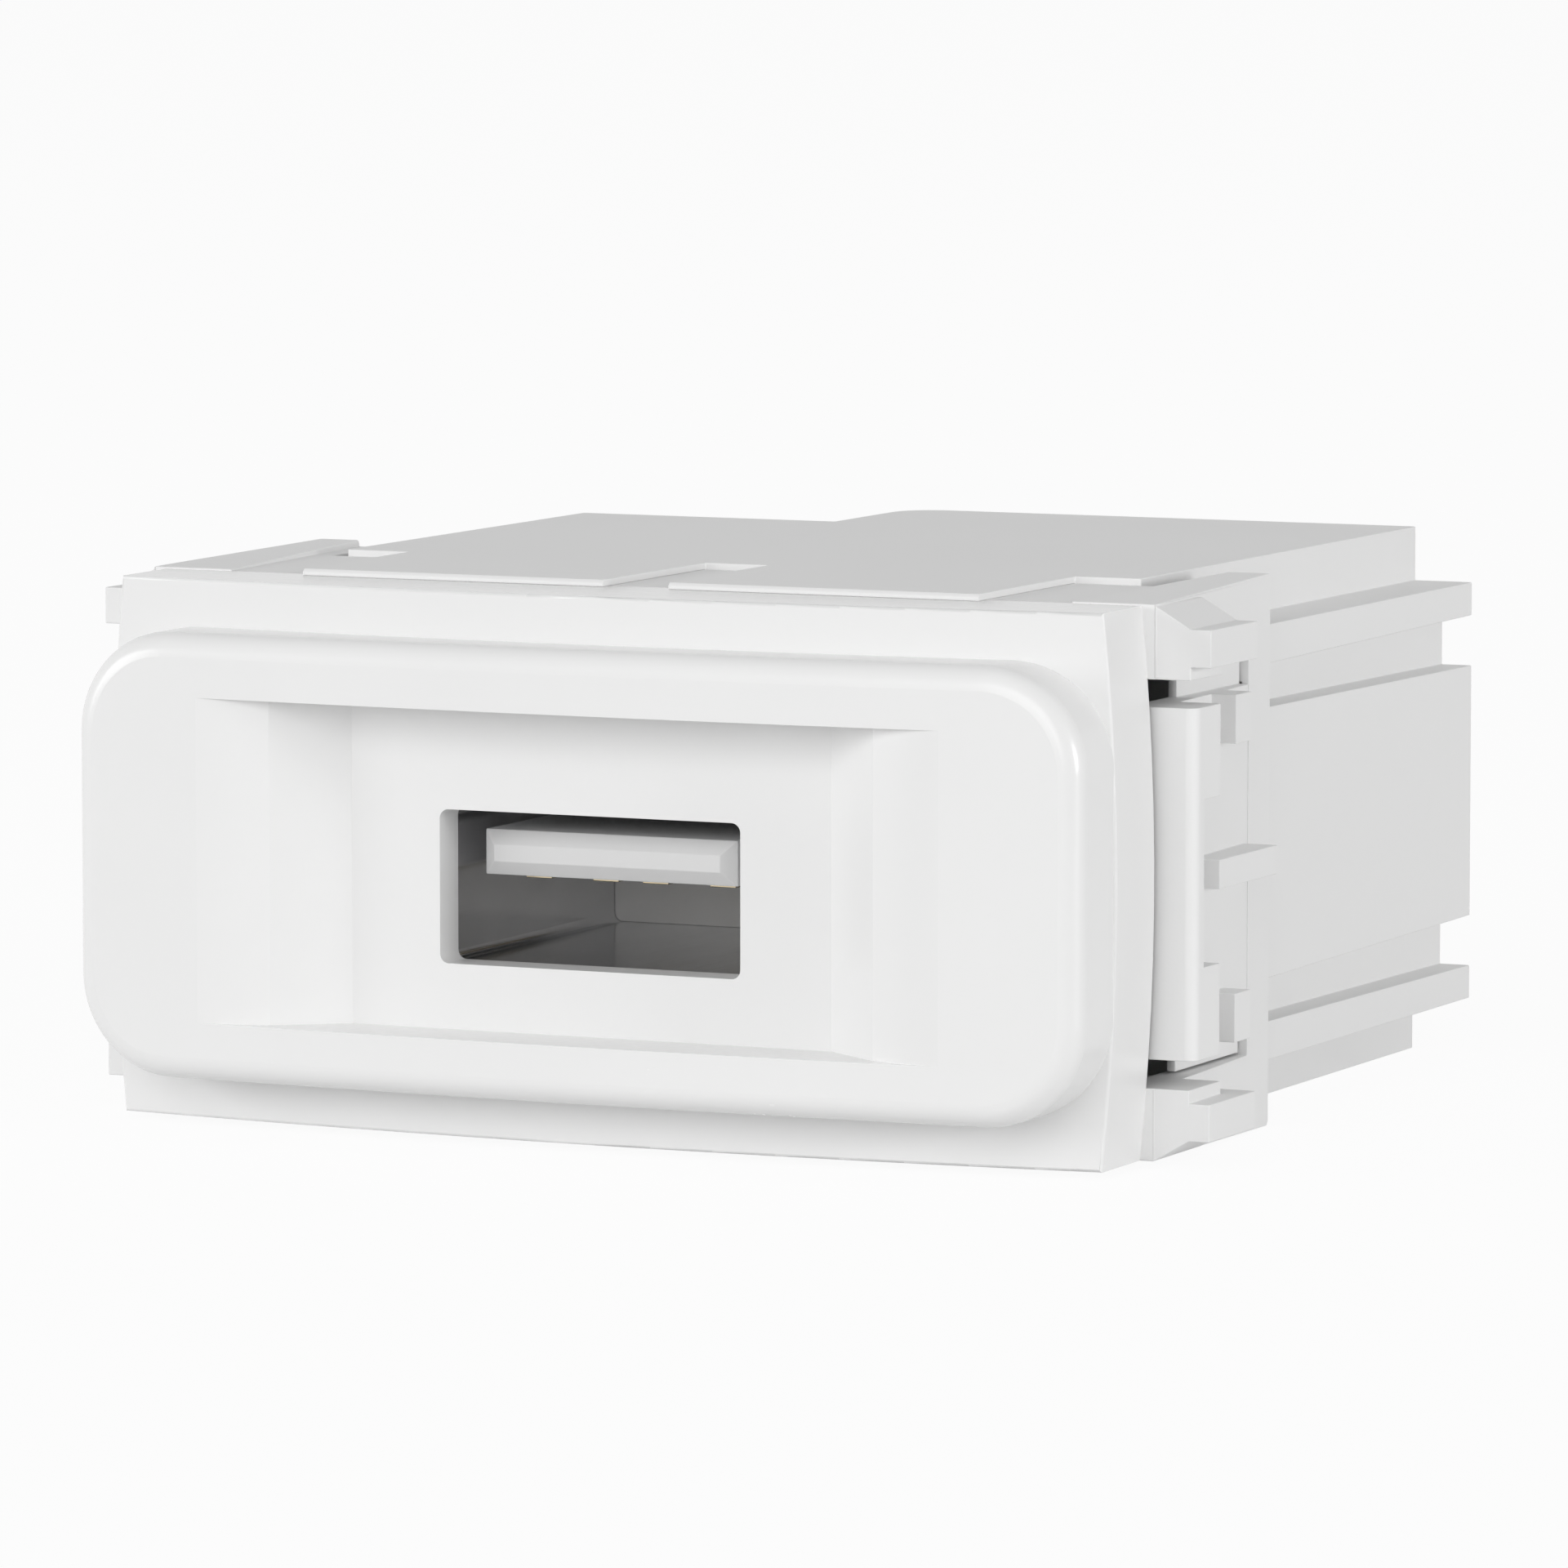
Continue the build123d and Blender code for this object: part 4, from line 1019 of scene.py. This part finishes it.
@dataclass
class SubAssembly:
    """Pieces that are dressed together.

    Attributes:
        nodes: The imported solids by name.
        seam: Distance under which points of a mesh are one, in millimetres.
        flat_angle: Angle up to which neighbouring facets are one flat, in degrees.
        edge_angle: Angle from which an edge is rounded, in degrees.
        edge_steps: Number of facets across a rounded edge.
    """

    nodes: Mapping[str, bpy.types.Object]
    seam: float = 0.002
    flat_angle: float = 0.3
    edge_angle: float = 20.0
    edge_steps: int = 2

    def build(self) -> None:
        """Models the pieces and dresses them."""
        raise NotImplementedError

    def dress(self, name: str, finish: Finish) -> None:
        """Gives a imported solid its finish.

        Args:
            name: Name of the solid.
            finish: Its finish.
        """
        solid = self.nodes[name]
        solid.data.materials.clear()
        solid.data.materials.append(finish.material())
        LOG.info("%s is finished in %s", name, finish.name)

    def add(self, piece: bpy.types.Object, name: str, finish: Finish, slot: str) -> None:
        """Names a new piece, dresses it and lets it move with the module.

        Args:
            piece: The finished mesh.
            name: Name of the piece.
            finish: Its finish.
            slot: Material slot of the record that it stands for; not used.
        """
        piece.name = name
        piece.data.materials.append(finish.material())
        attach(piece, "module")
        LOG.info("%s is modelled in %s", name, finish.name)

    def rounded(self, name: str, radius: float, finish: Finish, body: str = "module") -> bpy.types.Object:
        """Shows a copy of a flat-sided solid with its edges rounded.

        Args:
            name: Name of the solid.
            radius: Edge radius in millimetres.
            finish: Its finish.
            body: Body that it moves with.

        Returns:
            The copy that is shown in its place.
        """
        select_only(self.nodes[name])
        bpy.ops.object.duplicate()
        piece = bpy.context.active_object
        piece.name = f"{name}_rounded"
        bpy.ops.object.mode_set(mode="EDIT")
        bpy.ops.mesh.select_all(action="SELECT")
        bpy.ops.mesh.customdata_custom_splitnormals_clear()
        bpy.ops.mesh.remove_doubles(threshold=self.seam * MM)
        bpy.ops.mesh.dissolve_limited(angle_limit=math.radians(self.flat_angle))
        bpy.ops.mesh.faces_shade_smooth()
        bpy.ops.object.mode_set(mode="OBJECT")
        bevel = piece.modifiers.new("edges", "BEVEL")
        bevel.width = radius * MM
        bevel.segments = self.edge_steps
        bevel.limit_method = "ANGLE"
        bevel.angle_limit = math.radians(self.edge_angle)
        bevel.use_clamp_overlap = False
        piece.modifiers.new("flats", "WEIGHTED_NORMAL")
        for step in ("edges", "flats"):
            bpy.ops.object.modifier_apply(modifier=step)
        piece.data.materials.clear()
        piece.data.materials.append(finish.material())
        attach(piece, body)
        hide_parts(name)
        LOG.info("%s is rounded and finished in %s", name, finish.name)
        return piece


@dataclass
class Mouldings(SubAssembly):
    """The white cover, collar, case and catches.

    Attributes:
        edge: Edge radius of the flat-sided mouldings, in millimetres.
    """

    edge: float = 0.05

    def build(self) -> None:
        """Dresses the glossy cover and rounds the satin pieces behind it."""
        glossy = MouldedPlastic("glossy_white", gloss=0.24, shine=0.45, grain=0.4, grain_depth=0.0006)
        satin = MouldedPlastic("satin_white", gloss=0.5, shine=0.2, grain=0.14, grain_depth=0.003)
        self.dress("front_cover", glossy)
        for name in ("collar_frame", "rear_case"):
            self.rounded(name, self.edge, satin)
        for name in ("left_catch", "right_catch"):
            self.rounded(name, self.edge, satin, name)


@dataclass
class Socket(SubAssembly):
    """The metal shell, its moulded tongue, the contacts and their solder.

    Attributes:
        edge: Edge radius of the tongue and the contacts, in millimetres.
        leg_places: Places of the contacts along X, in millimetres.
        leg_gauge: Thickness of a leg, in millimetres.
        solder_reach: Half the width and half the depth of a joint's foot, in millimetres.
        solder_rise: Height of a joint, in millimetres.
        solder_steps: Steps in which a joint is drawn out, as shares of its height.
        solder_waist: Share of its width that each step keeps.
        solder_sides: Number of facets round a joint.
    """

    edge: float = 0.04
    leg_places: tuple[float, ...] = (-4.25, -1.15, 1.15, 4.25)
    leg_gauge: float = 0.4
    solder_reach: tuple[float, float] = (1.0, 0.75)
    solder_rise: float = 0.6
    solder_steps: tuple[float, ...] = (0.45, 0.55)
    solder_waist: float = 0.72
    solder_sides: int = 20

    def build(self) -> None:
        """Dresses the socket and solders its legs to the board."""
        plated = RolledMetal("plated_shell", shade=(0.82, 0.82, 0.83), gloss=0.16)
        tongue = MouldedPlastic("tongue_white", shade=(0.72, 0.72, 0.72), gloss=0.45, shine=0.3)
        contact = RolledMetal("contact_plate", shade=(0.72, 0.62, 0.44), gloss=0.22, grain=0.15)
        self.dress("usb_shell", plated)
        self.rounded("usb_insulator", self.edge, tongue)
        self.rounded("usb_contacts", self.edge, contact)
        self.solder()

    def solder(self) -> None:
        """Models one joint where a leg comes through the board, and copies it along the row."""
        board_low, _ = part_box("main_board")
        _, contacts_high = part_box("usb_contacts")
        leg_y = contacts_high.y - self.leg_gauge * MM / 2.0
        first_x, *others = self.leg_places
        first = self.joint((first_x * MM, leg_y, board_low.z))
        row = [first, *(copied(first, ((leg_x - first_x) * MM, 0.0, 0.0)) for leg_x in others)]
        alloy = SolderAlloy("set_solder")
        for number, joint in enumerate(row, start=1):
            self.add(joint, f"solder_joint_{number}", alloy, "contact_metal")

    def joint(self, place: Point) -> bpy.types.Object:
        """Models a fillet of solder that hangs under the board round a leg.

        Args:
            place: Middle of its foot on the board, in metres.

        Returns:
            The joint.
        """
        half_width, half_depth = self.solder_reach
        bpy.ops.object.select_all(action="DESELECT")
        bpy.ops.mesh.primitive_circle_add(
            vertices=self.solder_sides,
            radius=MM,
            fill_type="NGON",
            location=place,
        )
        joint = bpy.context.active_object
        joint.scale = (half_width, half_depth, 1.0)
        settle(joint)
        bpy.ops.object.mode_set(mode="EDIT")
        bpy.ops.mesh.select_all(action="SELECT")
        for share in self.solder_steps:
            drop = -share * self.solder_rise * MM
            bpy.ops.mesh.extrude_region_move(TRANSFORM_OT_translate={"value": (0.0, 0.0, drop)})
            bpy.ops.transform.resize(value=(self.solder_waist, self.solder_waist, 1.0), center_override=place)
        bpy.ops.object.mode_set(mode="OBJECT")
        close_up(joint, self.seam)
        return joint


@dataclass
class PowerBoard(SubAssembly):
    """The circuit board and the parts that stand on it.

    Attributes:
        foot_reach: How far a package's feet stand out, in millimetres.
        lead_reach: How far a resistor's lead stands out, in millimetres.
        coat_rise: Height of a disc's coating above the board, in millimetres.
        drum_waist: Depth of the choke's winding space, in millimetres.
        drum_flange: Thickness of its flanges, in millimetres.
        wire_radius: Radius of its enamelled wire, in millimetres.
        wire_steps: Number of facets along one turn of the wire.
        rim_radius: Radius of the rolled rim of a can's sleeve, in millimetres.
        rim_proud: How far that rim stands outside the can, in millimetres.
        rim_steps: Number of facets along the rim.
        round_sides: Number of facets round the wire and the rim.
        bare_top: Depth of the bare metal at a can's top, in millimetres.
        cans: The capacitors in cans, which are all of one size.
    """

    foot_reach: float = 0.79
    lead_reach: float = 1.09
    coat_rise: float = 0.95
    drum_waist: float = 0.5
    drum_flange: float = 1.2
    wire_radius: float = 0.16
    wire_steps: int = 32
    rim_radius: float = 0.16
    rim_proud: float = 0.03
    rim_steps: int = 48
    round_sides: int = 10
    bare_top: float = 0.02
    cans: tuple[str, ...] = ("input_capacitor", "filter_capacitor", "output_capacitor")

    def build(self) -> None:
        """Dresses the board, winds the choke and rolls the sleeves over the cans."""
        ferrite = FiredCeramic("pressed_ferrite")
        self.dress("main_board", Laminate("lacquered_board"))
        self.dress("transformer_core", ferrite)
        bobbin = MouldedPlastic("bobbin_black", shade=(0.02, 0.02, 0.021), gloss=0.5, shine=0.4)
        self.dress("transformer_bobbin", bobbin)
        self.dress("transformer_winding", WoundTape("winding_yellow"))
        self.dress("input_inductor", ferrite)
        self.dress_leaded()
        self.wind_choke()
        self.sleeve_cans()

    def dress_leaded(self) -> None:
        """Dresses the parts whose leads and feet are left bare."""
        board_middle, board_half = span("main_board", Axis.Z)
        board_top = board_middle + board_half
        self.dress("y_capacitor", DippedCoat("disc_blue", leads_below=board_top + self.coat_rise))
        middle, half = span("fuse_resistor", Axis.X)
        self.dress("fuse_resistor", BandedCoat("resistor_coat", middle, half - self.lead_reach))
        for name in ("bridge_rectifier", "controller_chip", "output_diode"):
            middle, half = span(name, Axis.Y)
            self.dress(name, ChipPackage(f"{name}_black", middle, half - self.foot_reach))

    def wind_choke(self) -> None:
        """Winds one close layer of enamelled wire round the choke's waist."""
        low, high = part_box("input_inductor")
        middle = (low + high) / 2.0
        wire = self.wire_radius * MM
        radius = (high.x - low.x) / 2.0 - self.drum_waist * MM + wire
        bottom = low.z + self.drum_flange * MM + wire
        top = high.z - self.drum_flange * MM - wire
        bpy.ops.object.select_all(action="DESELECT")
        bpy.ops.mesh.primitive_circle_add(vertices=self.round_sides, radius=wire, rotation=STOOD_UP)
        coil = bpy.context.active_object
        settle(coil)
        bpy.ops.object.mode_set(mode="EDIT")
        bpy.ops.mesh.select_all(action="SELECT")
        bpy.ops.transform.translate(value=(radius, 0.0, 0.0))
        bpy.ops.object.mode_set(mode="OBJECT")
        turns = coil.modifiers.new("turns", "SCREW")
        turns.axis = "Z"
        turns.angle = FULL_TURN
        turns.iterations = int((top - bottom) / (2.0 * wire))
        turns.screw_offset = (top - bottom) / turns.iterations
        turns.steps = self.wire_steps
        turns.render_steps = self.wire_steps
        bpy.ops.object.modifier_apply(modifier="turns")
        coil.location = (middle.x, middle.y, bottom)
        settle(coil)
        close_up(coil, self.seam)
        enamel = RolledMetal(
            "enamelled_copper",
            shade=(0.62, 0.23, 0.07),
            gloss=0.24,
            grain=0.3,
            stretch=(1.0, 1.0, 1.0),
        )
        self.add(coil, "choke_wire", enamel, "ferrite")

    def sleeve_cans(self) -> None:
        """Dresses the cans, rolls the rim of one sleeve over its top edge and copies it to the others."""
        first, *others = self.cans
        low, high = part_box(first)
        rims = {first: self.sleeve_rim(low, high)}
        for name in others:
            rims[name] = copied(rims[first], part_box(name)[0] - low)
        sleeve = CanSleeve("can_sleeve_dark", top=high.z / MM - self.bare_top)
        for name, rim in rims.items():
            self.dress(name, sleeve)
            self.add(rim, f"{name}_rim", sleeve, "can_sleeve")

    def sleeve_rim(self, low: Vector, high: Vector) -> bpy.types.Object:
        """Rolls a round rim about a can's upright axis.

        Args:
            low: Lowest corner of the can, in metres.
            high: Its highest corner, in metres.

        Returns:
            The rim.
        """
        bead = self.rim_radius * MM
        radius = (high.x - low.x) / 2.0 - bead + self.rim_proud * MM
        axis = ((low.x + high.x) / 2.0, (low.y + high.y) / 2.0, high.z - bead)
        bpy.ops.object.select_all(action="DESELECT")
        bpy.ops.mesh.primitive_circle_add(
            vertices=self.round_sides,
            radius=bead,
            location=(axis[0] + radius, axis[1], axis[2]),
            rotation=STOOD_UP,
        )
        rim = bpy.context.active_object
        settle(rim)
        bpy.ops.object.mode_set(mode="EDIT")
        bpy.ops.mesh.select_all(action="SELECT")
        bpy.ops.mesh.spin(steps=self.rim_steps, angle=FULL_TURN, center=axis, axis=(0.0, 0.0, 1.0))
        bpy.ops.object.mode_set(mode="OBJECT")
        close_up(rim, self.seam)
        return rim


@dataclass
class WireTerminals(SubAssembly):
    """The two brass terminals and their clamping screws."""

    def build(self) -> None:
        """Dresses the drawn brass and the plated screws."""
        brass = RolledMetal(
            "drawn_brass",
            shade=(0.72, 0.52, 0.22),
            gloss=0.3,
            grain=0.2,
            stretch=(1.0, 0.1, 1.0),
        )
        zinc = RolledMetal(
            "zinc_steel",
            shade=(0.6, 0.6, 0.61),
            gloss=0.32,
            grain=0.15,
            stretch=(0.1, 1.0, 1.0),
        )
        self.dress("line_terminal", brass)
        self.dress("neutral_terminal", brass)
        self.dress("terminal_screws", zinc)


def main() -> None:
    """Dresses the module, builds its details and sets up the picture."""
    logging.basicConfig(level=logging.INFO, format="%(name)s: %(message)s")
    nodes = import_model()["nodes"]
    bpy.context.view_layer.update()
    for assembly in (Mouldings, Socket, PowerBoard, WireTerminals):
        assembly(nodes).build()
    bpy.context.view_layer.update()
    Studio().build()
    Viewpoint().place()


if __name__ == "__main__":
    main()
